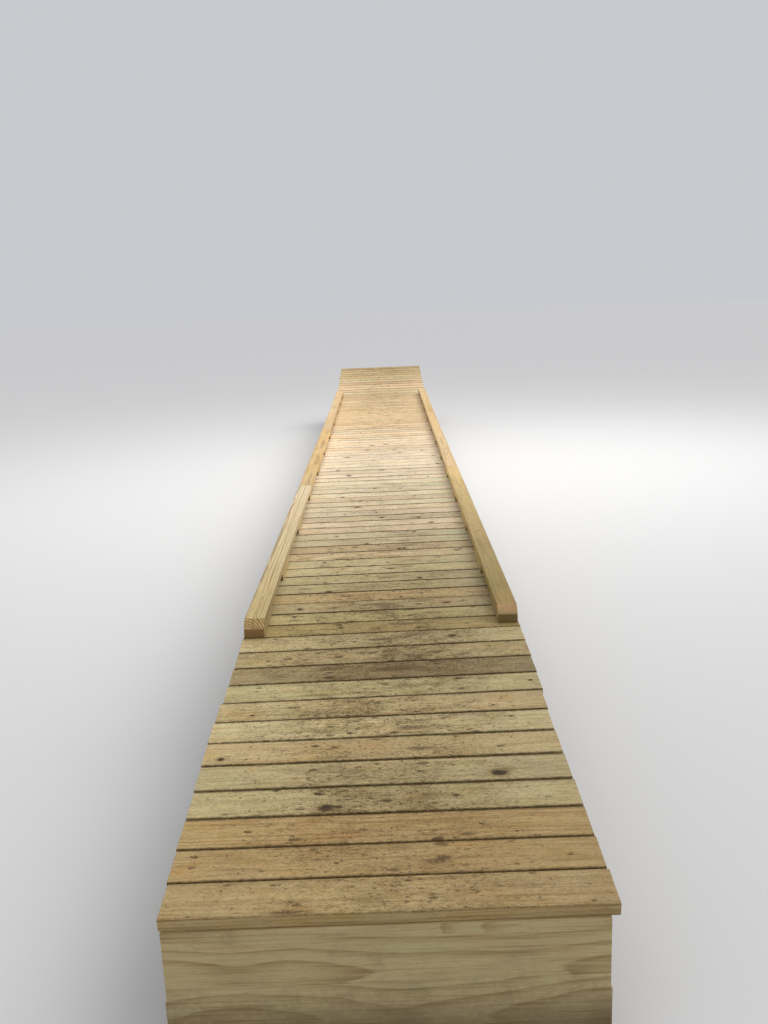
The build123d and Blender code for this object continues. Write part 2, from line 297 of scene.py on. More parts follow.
    # sawn ends: the rings stand out and the face drinks in the damp
    grain = t.noise(t.vm("MULTIPLY", place, (900.0, 900.0, 900.0)), 1.0, 1.0, 0.5)
    cut_late = t.m("MULTIPLY", t.mul(late, 1.5), end_rings, clamp=True)
    ce = t.col(cut_late, end_colour, lin(80, 54, 31))
    ce = t.col(t.step(grain, 0.45, 0.75, 0.0, 0.28), ce, t.col(1.0, end_colour, lin(150, 138, 128), "MULTIPLY"))
    c = t.col(cut, c, ce)

    rough = t.madd(fibre, 0.16, 0.62)
    rough = t.sub(rough, t.mul(late, 0.08))
    rough = t.m("ADD", rough, t.mul(cut, 0.12), clamp=True)
    h = t.add(t.mul(fibre, 0.55), t.mul(streak, 0.25))
    h = t.add(h, t.mul(late, 0.30))
    h = t.add(h, t.mul(t.mul(grain, cut), 0.5))
    t.put(go.inputs[0], c)
    t.put(go.inputs[1], rough)
    t.put(go.inputs[2], h)
    return g


WOOD = make_wood_group()


def new_material(name):
    m = bpy.data.materials.new(name)
    m.use_nodes = True
    t = Tree(m.node_tree)
    for n in list(m.node_tree.nodes):
        m.node_tree.nodes.remove(n)
    out = t.node("ShaderNodeOutputMaterial")
    bsdf = t.node("ShaderNodeBsdfPrincipled")
    m.node_tree.links.new(bsdf.outputs[0], out.inputs[0])
    return m, t, bsdf


def washed(t, c):
    """The board's tint over its wood and dirt; it also carries painted light and shade."""
    return t.col(1.0, c, t.attr("wash").outputs["Color"], "MULTIPLY")


def bump(t, height, strength, distance):
    n = t.node("ShaderNodeBump")
    n.inputs["Strength"].default_value = strength
    n.inputs["Distance"].default_value = distance
    t.put(n.inputs["Height"], height)
    return n.outputs[0]


def board_inputs(t):
    """Group node fed from a board mesh's own attributes."""
    place = t.attr("place").outputs["Vector"]
    gn = t.node("ShaderNodeGroup", node_tree=WOOD)
    t.put(gn.inputs[0], place)
    t.put(gn.inputs[1], t.attr("seed").outputs["Vector"])
    t.put(gn.inputs[2], t.attr("pith").outputs["Vector"])
    t.put(gn.inputs[3], t.attr("tone").outputs["Vector"])
    t.put(gn.inputs[4], t.attr("cut").outputs["Fac"])
    end = t.attr("end")
    t.put(gn.inputs[9], end.outputs["Color"])
    t.put(gn.inputs[10], end.outputs["Alpha"])
    return gn, place


def mark(t, place, name, ragged, soft=0.55, wide=0.55, tear=2.2):
    """How strongly a mark (place along, place across, size, stretch) shows.
    ragged is a noise around 0.5 that breaks up its outline."""
    n = t.attr(name)
    mu, mv, mr = t.sep(n.outputs["Vector"])
    stretch = n.outputs["Alpha"]
    u, v, w = t.sep(place)
    du = t.div(t.sub(u, mu), t.m("MAXIMUM", t.mul(mr, stretch), 1e-5))
    dv = t.div(t.sub(v, mv), t.m("MAXIMUM", mr, 1e-5))
    d = t.m("SQRT", t.add(t.mul(du, du), t.mul(dv, dv)))
    seen = t.step(t.madd(ragged, tear, d), tear / 2 + soft, tear / 2 + soft + wide, 1.0, 0.0)
    return t.mul(seen, t.m("GREATER_THAN", mr, 1e-4)), d


def tinted(t, f, c, tint):
    """c multiplied by a tint where f is high."""
    return t.col(t.m("MULTIPLY", f, 1.0, clamp=True), c, (tint[0], tint[1], tint[2], 1.0), "MULTIPLY")


def make_deck_material():
    m, t, bsdf = new_material("deck_board")
    gn, place = board_inputs(t)
    u, v, w = t.sep(place)
    seed = t.attr("seed").outputs["Vector"]
    care = t.attr("care")                      # dirt, edge grime and painted gap shade, ring contrast
    dirt, grime, contrast = t.sep(care.outputs["Vector"])
    # per-side strength of the painted gap shade, then the brown film
    near_line, far_line, film = t.sep(t.attr("lines").outputs["Vector"])

    coarse = t.noise(t.vm("ADD", t.vm("MULTIPLY", place, (48.0, 95.0, 95.0)), seed), 1.0, 2.0, 0.6)
    tiny = t.noise(t.vm("ADD", t.vm("MULTIPLY", place, (160.0, 330.0, 330.0)), seed), 1.0, 2.0, 0.65)
    mid_n = t.noise(t.vm("ADD", t.vm("MULTIPLY", place, (90.0, 200.0, 200.0)), seed), 1.0, 3.0, 0.65)
    ragged = t.madd(coarse, 0.45, t.mul(mid_n, 0.55))
    torn = t.madd(mid_n, 0.6, t.mul(tiny, 0.4))
    # knots: dark heart, and rings that flow round it
    knot_1, d1 = mark(t, place, "knot_1", torn, 0.68, 0.26, 3.2)
    knot_2, d2 = mark(t, place, "knot_2", torn, 0.68, 0.26, 3.2)
    flow = t.add(
        t.mul(t.m("EXPONENT", t.mul(t.mul(d1, d1), -0.22)), t.mul(t.m("GREATER_THAN", t.sep(t.attr("knot_1").outputs["Vector"])[2], 1e-4), 2.2)),
        t.mul(t.m("EXPONENT", t.mul(t.mul(d2, d2), -0.22)), t.mul(t.m("GREATER_THAN", t.sep(t.attr("knot_2").outputs["Vector"])[2], 1e-4), 1.8)))
    t.put(gn.inputs[6], flow)
    t.put(gn.inputs[5], contrast)
    c = washed(t, gn.outputs[0])

    # wear and dirt: mostly along the middle, and on the tread only
    mid = t.step(t.m("ABSOLUTE", u), 0.14, 0.56, 1.0, 0.30)
    face = t.step(w, 0.010, 0.017)
    amount = t.mul(t.mul(mid, dirt), face)

    # soft patches of colour and the fine unevenness of a rough, wet-treated face
    hue_v = t.vm("ADD", t.vm("MULTIPLY", place, (9.0, 21.0, 21.0)), t.vm("MULTIPLY", seed, (0.7, 1.9, 1.1)))
    hr, hg, hb = t.sep(t.noise(hue_v, 1.0, 3.0, 0.58, colour=True))
    c = tinted(t, t.step(hr, 0.50, 0.74, 0.0, 0.65), c, (1.0, 0.88, 0.72))
    c = tinted(t, t.step(hg, 0.50, 0.74, 0.0, 0.75), c, (0.92, 0.93, 0.74))
    c = tinted(t, t.step(hb, 0.52, 0.76, 0.0, 0.70), c, (1.10, 1.10, 1.16))
    mott_v = t.vm("ADD", t.vm("MULTIPLY", place, (70.0, 150.0, 150.0)), t.vm("MULTIPLY", seed, (1.3, 1.1, 0.7)))
    mott = t.noise(mott_v, 1.0, 3.0, 0.72)
    fine = t.noise(t.vm("ADD", t.vm("MULTIPLY", place, (210.0, 400.0, 400.0)), seed), 1.0, 2.0, 0.7)
    c = tinted(t, t.mul(t.step(mott, 0.50, 0.76), t.madd(amount, 0.85, 0.36)), c, (0.68, 0.60, 0.44))
    c = tinted(t, t.mul(t.step(mott, 0.48, 0.24), t.madd(amount, 0.60, 0.62)), c, (1.26, 1.26, 1.27))
    c = tinted(t, t.mul(t.step(fine, 0.50, 0.78), t.madd(amount, 0.32, 0.36)), c, (0.74, 0.68, 0.55))
    # a brown film where the middle is used most
    walk = t.step(t.m("ABSOLUTE", t.sub(u, 0.05)), 0.14, 0.46, 1.0, 0.0)
    walk = t.mul(t.mul(walk, film), t.mul(face, t.step(ragged, 0.30, 0.62, 0.55, 1.15)))
    c = tinted(t, walk, c, (0.76, 0.71, 0.61))

    halo = t.step(t.madd(torn, 1.2, t.m("MINIMUM", d1, d2)), 1.3, 2.7, 0.75, 0.0)
    c = tinted(t, halo, c, (0.70, 0.60, 0.46))
    knots = t.m("MAXIMUM", knot_1, knot_2)
    c = t.col(t.mul(knots, 0.96), c, t.col(t.step(tiny, 0.35, 0.62), lin(31, 21, 9), lin(68, 48, 20)))
    trail = t.mul(t.step(t.m("MINIMUM", d1, d2), 1.0, 3.2, 1.0, 0.0), t.step(torn, 0.50, 0.60))
    c = t.col(t.mul(trail, 0.45), c, lin(74, 54, 20))

    # trodden-in dirt
    blot_v = t.vm("ADD", t.vm("MULTIPLY", place, (8.0, 22.0, 22.0)), seed)
    blot = t.noise(blot_v, 1.0, 4.0, 0.65)
    cloud = t.noise(t.vm("ADD", t.vm("MULTIPLY", place, (2.6, 6.0, 6.0)), seed), 1.0, 2.0, 0.5)
    smear = t.step(t.add(blot, t.mul(cloud, 0.40)), 0.60, 0.84)
    smear = t.mul(smear, t.step(ragged, 0.36, 0.60, 0.25, 1.0))
    smear = t.m("MULTIPLY", t.mul(smear, amount), 0.55, clamp=True)
    c = t.col(smear, c, lin(116, 89, 43))
    grey_v = t.vm("ADD", t.vm("MULTIPLY", place, (5.0, 15.0, 15.0)), t.vm("MULTIPLY", seed, (-1.0, 2.0, 1.0)))
    grey = t.step(t.noise(grey_v, 1.0, 4.0, 0.62), 0.54, 0.76)
    grey = t.m("MULTIPLY", t.mul(grey, amount), t.step(mid_n, 0.36, 0.62, 0.10, 0.50), clamp=True)
    c = t.col(grey, c, lin(130, 116, 82))
    # grains: fine and dark, thicker where the smears are
    many = t.m("MAXIMUM", smear, grey)
    lone = t.step(t.sub(mid_n, t.mul(many, 0.10)), 0.615, 0.655)
    c = t.col(t.m("MULTIPLY", lone, t.mul(t.mul(dirt, face), t.add(t.mul(mid, 0.75), 0.25)), clamp=True), c, lin(72, 52, 17))
    grit = t.step(t.add(tiny, t.mul(many, 0.13)), 0.59, 0.66)
    grit = t.m("MULTIPLY", grit, t.mul(t.madd(many, 1.0, 0.42), t.mul(face, dirt)), clamp=True)
    c = t.col(grit, c, lin(66, 47, 16))
    clump = t.step(t.add(coarse, t.mul(cloud, 0.14)), 0.675, 0.73)
    clump = t.m("MULTIPLY", t.mul(clump, amount), t.step(torn, 0.38, 0.56, 0.10, 0.90), clamp=True)
    c = t.col(clump, c, lin(78, 56, 20))
    # crumbs, ragged and longer along the board
    warp = t.vm("ADD", place, t.xyz(t.madd(mid_n, 0.050, -0.025), t.madd(tiny, 0.022, -0.011), 0.0))
    vd, vc = t.voronoi(t.vm("ADD", t.vm("MULTIPLY", warp, (14.0, 30.0, 30.0)), seed), 1.0)
    vr, vg, vb = t.sep(vc)
    size = t.mul(t.step(vr, 0.42, 1.0, 0.0, 0.27), t.add(t.mul(mid, 0.70), 0.30))
    crumb = t.step(t.sub(t.madd(torn, 0.42, vd), size), 0.19, 0.27, 1.0, 0.0)
    crumb = t.mul(crumb, t.mul(t.m("GREATER_THAN", size, 0.03), t.mul(face, t.m("MINIMUM", dirt, 1.0))))
    c = t.col(t.mul(crumb, t.step(vg, 0.0, 1.0, 0.60, 1.00)), c, t.col(vb, lin(56, 39, 13), lin(90, 67, 24)))
    # marks placed one by one
    for name, colour, most in (("smear_1", lin(88, 64, 23), 0.92), ("smear_2", lin(122, 103, 56), 0.70), ("spot", lin(52, 37, 13), 1.0)):
        seen, d = mark(t, place, name, ragged, 0.30, 0.75)
        c = t.col(t.m("MULTIPLY", t.mul(seen, face), t.mul(t.step(torn, 0.34, 0.56, 0.25, 1.0), most), clamp=True), c, colour)
    streaky = t.noise(t.vm("ADD", t.vm("MULTIPLY", place, (6.0, 60.0, 60.0)), seed), 1.0, 2.0, 0.5)
    warm, d = mark(t, place, "bloom", streaky, 0.0, 1.3)
    c = tinted(t, t.mul(t.mul(warm, face), 0.60), c, (0.98, 0.83, 0.66))
    salt, d = mark(t, place, "salt", streaky, 0.0, 1.5)
    c = tinted(t, t.mul(t.mul(salt, face), 0.80), c, (0.80, 0.95, 0.86))

    # grime in the arrises and down the sides of each board, with painted shade: the edges and side faces darken where
    # the gaps between boards fall into shade
    reach = t.step(coarse, 0.35, 0.75, 0.0090, 0.0135)
    edge = t.step(t.sub(W / 2, t.m("ABSOLUTE", v)), 0.0, reach, 1.0, 0.0)
    line = t.mix(t.m("GREATER_THAN", v, 0.0), near_line, far_line)
    edge = t.mul(edge, t.mul(grime, t.step(ragged, 0.30, 0.62, 0.50, 1.0)))
    edge = t.m("MULTIPLY", edge, line, clamp=True)
    c = t.col(t.mul(edge, face), c, lin(80, 60, 20))
    # side faces darken downwards: painted shade inside the gaps, with grime
    side = t.step(w, 0.016, -0.012, 0.0, 1.0)
    c = t.col(t.m("MULTIPLY", side, t.mul(t.mul(grime, line), 0.55), clamp=True), c, lin(100, 80, 40))

    t.put(bsdf.inputs["Base Color"], c)
    dirty = t.m("MAXIMUM", t.m("MAXIMUM", smear, grey), t.m("MAXIMUM", crumb, knots), clamp=True)
    t.put(bsdf.inputs["Roughness"], t.m("ADD", gn.outputs[1], t.mul(dirty, 0.16), clamp=True))
    h = t.add(gn.outputs[2], t.mul(crumb, 1.4))
    h = t.sub(h, t.mul(knots, 1.2))
    h = t.add(h, t.mul(t.mul(smear, tiny), 0.8))
    h = t.sub(h, t.mul(t.step(fine, 0.5, 0.78), 0.35))
    t.put(bsdf.inputs["Normal"], bump(t, h, 0.55, 0.0011))
    bsdf.inputs["Specular IOR Level"].default_value = 0.32
    return m


def make_rail_material():
    m, t, bsdf = new_material("rail_board")
    gn, place = board_inputs(t)
    u, v, w = t.sep(place)
    seed = t.attr("seed").outputs["Vector"]
    care = t.attr("care")
    dirt, grime, contrast = t.sep(care.outputs["Vector"])
    t.put(gn.inputs[5], contrast)
    t.put(gn.inputs[8], t.attr("roam").outputs["Fac"])
    gn.inputs[7].default_value = 0.62
    coarse = t.noise(t.vm("ADD", t.vm("MULTIPLY", place, (40.0, 90.0, 90.0)), seed), 1.0, 2.0, 0.6)
    tiny = t.noise(t.vm("ADD", t.vm("MULTIPLY", place, (150.0, 300.0, 300.0)), seed), 1.0, 2.0, 0.65)
    knot_1, d1 = mark(t, place, "knot_1", tiny, 0.55, 0.4)
    on = t.m("GREATER_THAN", t.sep(t.attr("knot_1").outputs["Vector"])[2], 1e-4)
    loop, d2 = mark(t, place, "knot_2", tiny, 0.55, 0.4)
    looped = t.m("GREATER_THAN", t.sep(t.attr("knot_2").outputs["Vector"])[2], 1e-4)
    t.put(gn.inputs[6], t.add(t.mul(t.m("EXPONENT", t.mul(t.mul(d1, d1), -0.16)), t.mul(on, 2.4)),
                              t.mul(t.m("EXPONENT", t.mul(t.mul(d2, d2), -0.5)), t.mul(looped, 3.2))))
    c = washed(t, gn.outputs[0])
    # two dark bands of summer wood along one rail
    va, vb_, deep = t.sep(t.attr("smear_1").outputs["Vector"])
    roll = t.madd(t.noise(t.xyz(t.mul(u, 0.75), 3.1, 7.7), 1.0, 1.0, 0.5), 0.044, -0.022)
    fray = t.madd(t.noise(t.vm("MULTIPLY", place, (7.0, 160.0, 160.0)), 1.0, 2.0, 0.6), 0.0050, -0.0025)
    across = t.add(t.sub(v, roll), fray)
    band = t.m("MAXIMUM", t.step(t.m("ABSOLUTE", t.sub(across, va)), 0.0010, 0.0048, 1.0, 0.0),
               t.step(t.m("ABSOLUTE", t.sub(across, vb_)), 0.0006, 0.0036, 0.85, 0.0))
    c = tinted(t, t.mul(band, deep), c, (0.66, 0.64, 0.42))
    # pointed arches where the rings run out of the face
    zone, d3 = mark(t, place, "bloom", coarse, 0.0, 0.9, 0.5)
    arch = t.mul(t.sub(u, t.mul(t.m("ABSOLUTE", t.sub(v, 0.006)), 6.5)), 4.2)
    arch = t.m("FRACT", t.add(arch, t.madd(coarse, 0.5, t.mul(roll, 12.0))))
    arch = t.step(t.m("ABSOLUTE", t.sub(arch, 0.5)), 0.06, 0.24, 1.0, 0.0)
    c = tinted(t, t.mul(t.mul(arch, zone), t.step(w, 0.010, 0.016, 0.0, 0.85)), c, (0.70, 0.58, 0.42))
    c = t.col(t.mul(on, t.step(d1, 0.8, 3.0, 0.40, 0.0)), c, lin(160, 112, 66))
    c = t.col(t.mul(knot_1, 0.9), c, lin(64, 46, 30))
    smear = t.step(t.noise(t.vm("ADD", t.vm("MULTIPLY", place, (5.0, 26.0, 26.0)), seed), 1.0, 3.0, 0.6), 0.56, 0.80)
    smear = t.m("MULTIPLY", t.mul(smear, dirt), t.step(coarse, 0.3, 0.65, 0.4, 0.8), clamp=True)
    c = t.col(smear, c, lin(120, 100, 70))
    vd, vc = t.voronoi(t.vm("ADD", t.vm("MULTIPLY", place, (9.0, 26.0, 26.0)), seed), 1.0)
    vr, vg, vb = t.sep(vc)
    size = t.step(vr, 0.80, 1.0, 0.0, 0.16)
    speck = t.step(t.sub(t.madd(coarse, 0.2, vd), size), 0.10, 0.16, 1.0, 0.0)
    speck = t.mul(speck, t.mul(t.m("GREATER_THAN", size, 0.03), t.m("MINIMUM", dirt, 1.0)))
    c = t.col(t.mul(speck, 0.6), c, lin(84, 62, 40))
    # rubbed, dirtier arrises and damp undersides
    e1 = t.step(t.sub(RAIL_W / 2, t.m("ABSOLUTE", v)), 0.0, 0.005, 1.0, 0.0)
    e2 = t.step(t.sub(RAIL_T / 2, t.m("ABSOLUTE", w)), 0.0, 0.005, 1.0, 0.0)
    arris = t.mul(t.mul(e1, e2), t.step(coarse, 0.3, 0.7, 0.2, 0.7))
    c = t.col(t.m("MULTIPLY", arris, grime, clamp=True), c, lin(134, 108, 72))
    c = t.col(t.step(w, -0.004, -0.019, 0.0, 0.22), c, lin(112, 90, 58))
    spot, d = mark(t, place, "spot", tiny, 0.6, 0.4, 1.4)
    spot_2, d = mark(t, place, "smear_2", tiny, 0.3, 0.6)
    c = t.col(t.mul(t.m("MAXIMUM", spot, spot_2), 0.8), c, lin(78, 62, 32))
    t.put(bsdf.inputs["Base Color"], c)
    t.put(bsdf.inputs["Roughness"], t.m("ADD", gn.outputs[1], t.mul(smear, 0.12), clamp=True))
    h = t.sub(t.add(gn.outputs[2], t.mul(speck, 1.0)), t.mul(knot_1, 1.2))
    t.put(bsdf.inputs["Normal"], bump(t, h, 0.5, 0.0011))
    bsdf.inputs["Specular IOR Level"].default_value = 0.32
    return m


def make_timber_material(name, axis, cell, damp, tone, spacing, pith_v, pith_w, contrast=0.75,
                         mud=0.0, mud_top=0.4):
    """For the frame under the deck: grain along axis, from object coordinates.
    cell is the size of the boxes that give each stick its own figure."""
    m, t, bsdf = new_material(name)
    co = t.node("ShaderNodeTexCoord").outputs["Object"]
    x, y, z = t.sep(co)
    ix = t.m("FLOOR", t.div(t.add(x, 7.013), cell[0]))
    iy = t.m("FLOOR", t.div(t.add(y, 17.021), cell[1]))
    iz = t.m("FLOOR", t.div(t.add(z, 3.0), cell[2]))
    seed = t.xyz(t.madd(ix, 7.31, t.mul(iz, 3.17)), t.madd(iy, 5.93, t.mul(ix, 1.71)), t.madd(iz, 9.37, t.mul(iy, 2.39)))
    fx = t.mul(t.sub(t.m("FRACT", t.div(t.add(x, 7.013), cell[0])), 0.5), cell[0])
    fy = t.mul(t.sub(t.m("FRACT", t.div(t.add(y, 17.021), cell[1])), 0.5), cell[1])
    fz = t.mul(t.sub(t.m("FRACT", t.div(t.add(z, 3.0), cell[2])), 0.5), cell[2])
    if axis == "Y":
        place = t.xyz(y, fx, fz)
    else:
        place = t.xyz(x, fy, fz)
    normal = t.node("ShaderNodeNewGeometry").outputs["True Normal"]
    nx, ny, nz = t.sep(normal)
    cut = t.step(t.m("ABSOLUTE", ny if axis == "Y" else nx), 0.55, 0.85)
    gn = t.node("ShaderNodeGroup", node_tree=WOOD)
    t.put(gn.inputs[0], place)
    t.put(gn.inputs[1], seed)
    gn.inputs[2].default_value = (pith_v, pith_w, spacing)
    gn.inputs[3].default_value = tone
    t.put(gn.inputs[4], cut)
    gn.inputs[5].default_value = contrast
    c = gn.outputs[0]
    coarse = t.noise(co, 55.0, 3.0, 0.6)
    tiny = t.noise(co, 260.0, 2.0, 0.65)
    cloud = t.noise(co, 5.5, 4.0, 0.55)
    # damp and dirt: strongest at the foot, fading up
    wet = t.step(t.add(z, t.madd(cloud, 0.16, -0.08)), 0.0, 0.20, damp, 0.0)
    c = t.col(wet, c, lin(92, 76, 52))
    dust = t.mul(t.step(t.add(z, t.madd(coarse, 0.10, -0.05)), 0.0, 0.07, 1.0, 0.0), t.step(tiny, 0.35, 0.62, 0.35, 0.95))
    c = t.col(t.m("MULTIPLY", dust, damp, clamp=True), c, lin(64, 48, 34))
    stain = t.mul(t.step(cloud, 0.52, 0.75), t.step(coarse, 0.3, 0.7, 0.3, 0.75))
    c = t.col(t.mul(stain, 0.55), c, lin(118, 102, 68))
    grit = t.mul(t.step(tiny, 0.62, 0.76), 0.5)
    c = t.col(grit, c, lin(84, 66, 44))
    # drip lines under the board gaps
    drip = t.noise(t.vm("MULTIPLY", co, (26.0, 26.0, 2.2)), 1.0, 2.0, 0.55)
    top = t.step(z, DECK_H - T - 0.16, DECK_H - T + 0.02)
    c = t.col(t.mul(t.mul(t.step(drip, 0.52, 0.72), top), 0.5), c, lin(104, 88, 58))
    if mud:
        # the end boards are the dirtiest, most of all low down
        lump = t.noise(co, 16.0, 4.0, 0.62)
        reach = t.add(z, t.madd(lump, 0.26, -0.13))
        cling = t.mul(t.step(reach, mud_top - 0.10, mud_top + 0.02, 1.0, 0.30), t.step(t.madd(coarse, 0.5, t.mul(tiny, 0.5)), 0.34, 0.58, 0.45, 1.0))
        c = t.col(t.m("MULTIPLY", cling, mud, clamp=True), c, t.col(t.step(tiny, 0.35, 0.65), lin(86, 68, 48), lin(118, 98, 70)))
    t.put(bsdf.inputs["Base Color"], c)
    t.put(bsdf.inputs["Roughness"], t.m("ADD", gn.outputs[1], t.mul(t.m("ADD", wet, stain), 0.10), clamp=True))
    h = t.add(gn.outputs[2], t.mul(dust, t.mul(tiny, 1.8)))
    t.put(bsdf.inputs["Normal"], bump(t, h, 0.5, 0.0013))
    bsdf.inputs["Specular IOR Level"].default_value = 0.30
    return m


def make_screw_material():
    m, t, bsdf = new_material("screw_head")
    co = t.node("ShaderNodeTexCoord").outputs["Object"]
    n = t.noise(co, 420.0, 3.0, 0.6)
    n2 = t.noise(co, 90.0, 2.0, 0.5)
    c = t.col(t.step(n, 0.35, 0.65), lin(112, 95, 64), lin(146, 126, 88))
    c = t.col(t.step(n2, 0.5, 0.7, 0.0, 0.6), c, lin(104, 72, 42))
    t.put(bsdf.inputs["Base Color"], c)
    t.put(bsdf.inputs["Roughness"], t.step(n, 0.2, 0.8, 0.42, 0.75))
    t.put(bsdf.inputs["Normal"], bump(t, n, 0.3, 0.0004))
    bsdf.inputs["Metallic"].default_value = 0.35
    return m


def make_rim_material():
    m, t, bsdf = new_material("screw_hole")
    co = t.node("ShaderNodeTexCoord").outputs["Object"]
    n = t.noise(co, 500.0, 3.0, 0.6)
    c = t.col(t.step(n, 0.3, 0.7), lin(112, 88, 54), lin(148, 122, 80))
    t.put(bsdf.inputs["Base Color"], c)
    t.put(bsdf.inputs["Roughness"], t.step(n, 0.2, 0.8, 0.75, 0.95))
    t.put(bsdf.inputs["Normal"], bump(t, n, 0.6, 0.0006))
    bsdf.inputs["Specular IOR Level"].default_value = 0.2
    return m


DECK = make_deck_material()
RAIL = make_rail_material()
SCREW = make_screw_material()
RIM = make_rim_material()


# ---------------------------------------------------------------------------
# board meshes
# ---------------------------------------------------------------------------
def section(a, b, r, top_n=6, side_n=1, corner=3):
    """Rounded rectangle (across, through), counter-clockwise from lower left."""
    pts = []
    centres = [(-a + r, -b + r, math.pi), (a - r, -b + r, 1.5 * math.pi),
               (a - r, b - r, 0.0), (-a + r, b - r, 0.5 * math.pi)]
    runs = [2, side_n, top_n, side_n]
    for q in range(4):
        cx, cy, start = centres[q]
        for k in range(corner + 1):
            ang = start + k * (math.pi / 2) / corner
            pts.append((cx + r * math.cos(ang), cy + r * math.sin(ang)))
        nx, ny, ns = centres[(q + 1) % 4]
        end = (nx + r * math.cos(ns), ny + r * math.sin(ns))
        here = pts[-1]
        for k in range(1, runs[q]):
            f = k / runs[q]
            pts.append((here[0] + (end[0] - here[0]) * f, here[1] + (end[1] - here[1]) * f))
    return pts


def screw_geometry(verts, faces, mats, u, v, z, spin):
    """A sunk screw: crushed rim, head and driver recess, added to a board."""
    n = 10
    base = len(verts)
    rings = [(0.0046, -0.0003), (0.0042, 0.00035), (0.0037, 0.00008), (0.0033, 0.00030), (0.0016, 0.00034)]
    for rr, zz in rings:
        for k in range(n):
            ang = spin + 2 * math.pi * k / n
            q = rr
            if rr < 0.002:
                q = rr * (1.25 if k % 2 else 0.75)
            verts.append((u + q * math.cos(ang), v + q * math.sin(ang), z + zz))
    verts.append((u, v, z - 0.00025))
    hub = len(verts) - 1
    for i in range(len(rings) - 1):
        for k in range(n):
            a0 = base + i * n + k
            a1 = base + i * n + (k + 1) % n
            faces.append((a0, a1, a1 + n, a0 + n))
            mats.append(2 if i < 2 else 1)
    last = base + (len(rings) - 1) * n
    for k in range(n):
        faces.append((last + k, last + (k + 1) % n, hub))
        mats.append(2)


MARKS = ("knot_1", "knot_2", "smear_1", "smear_2", "spot", "bloom", "salt")


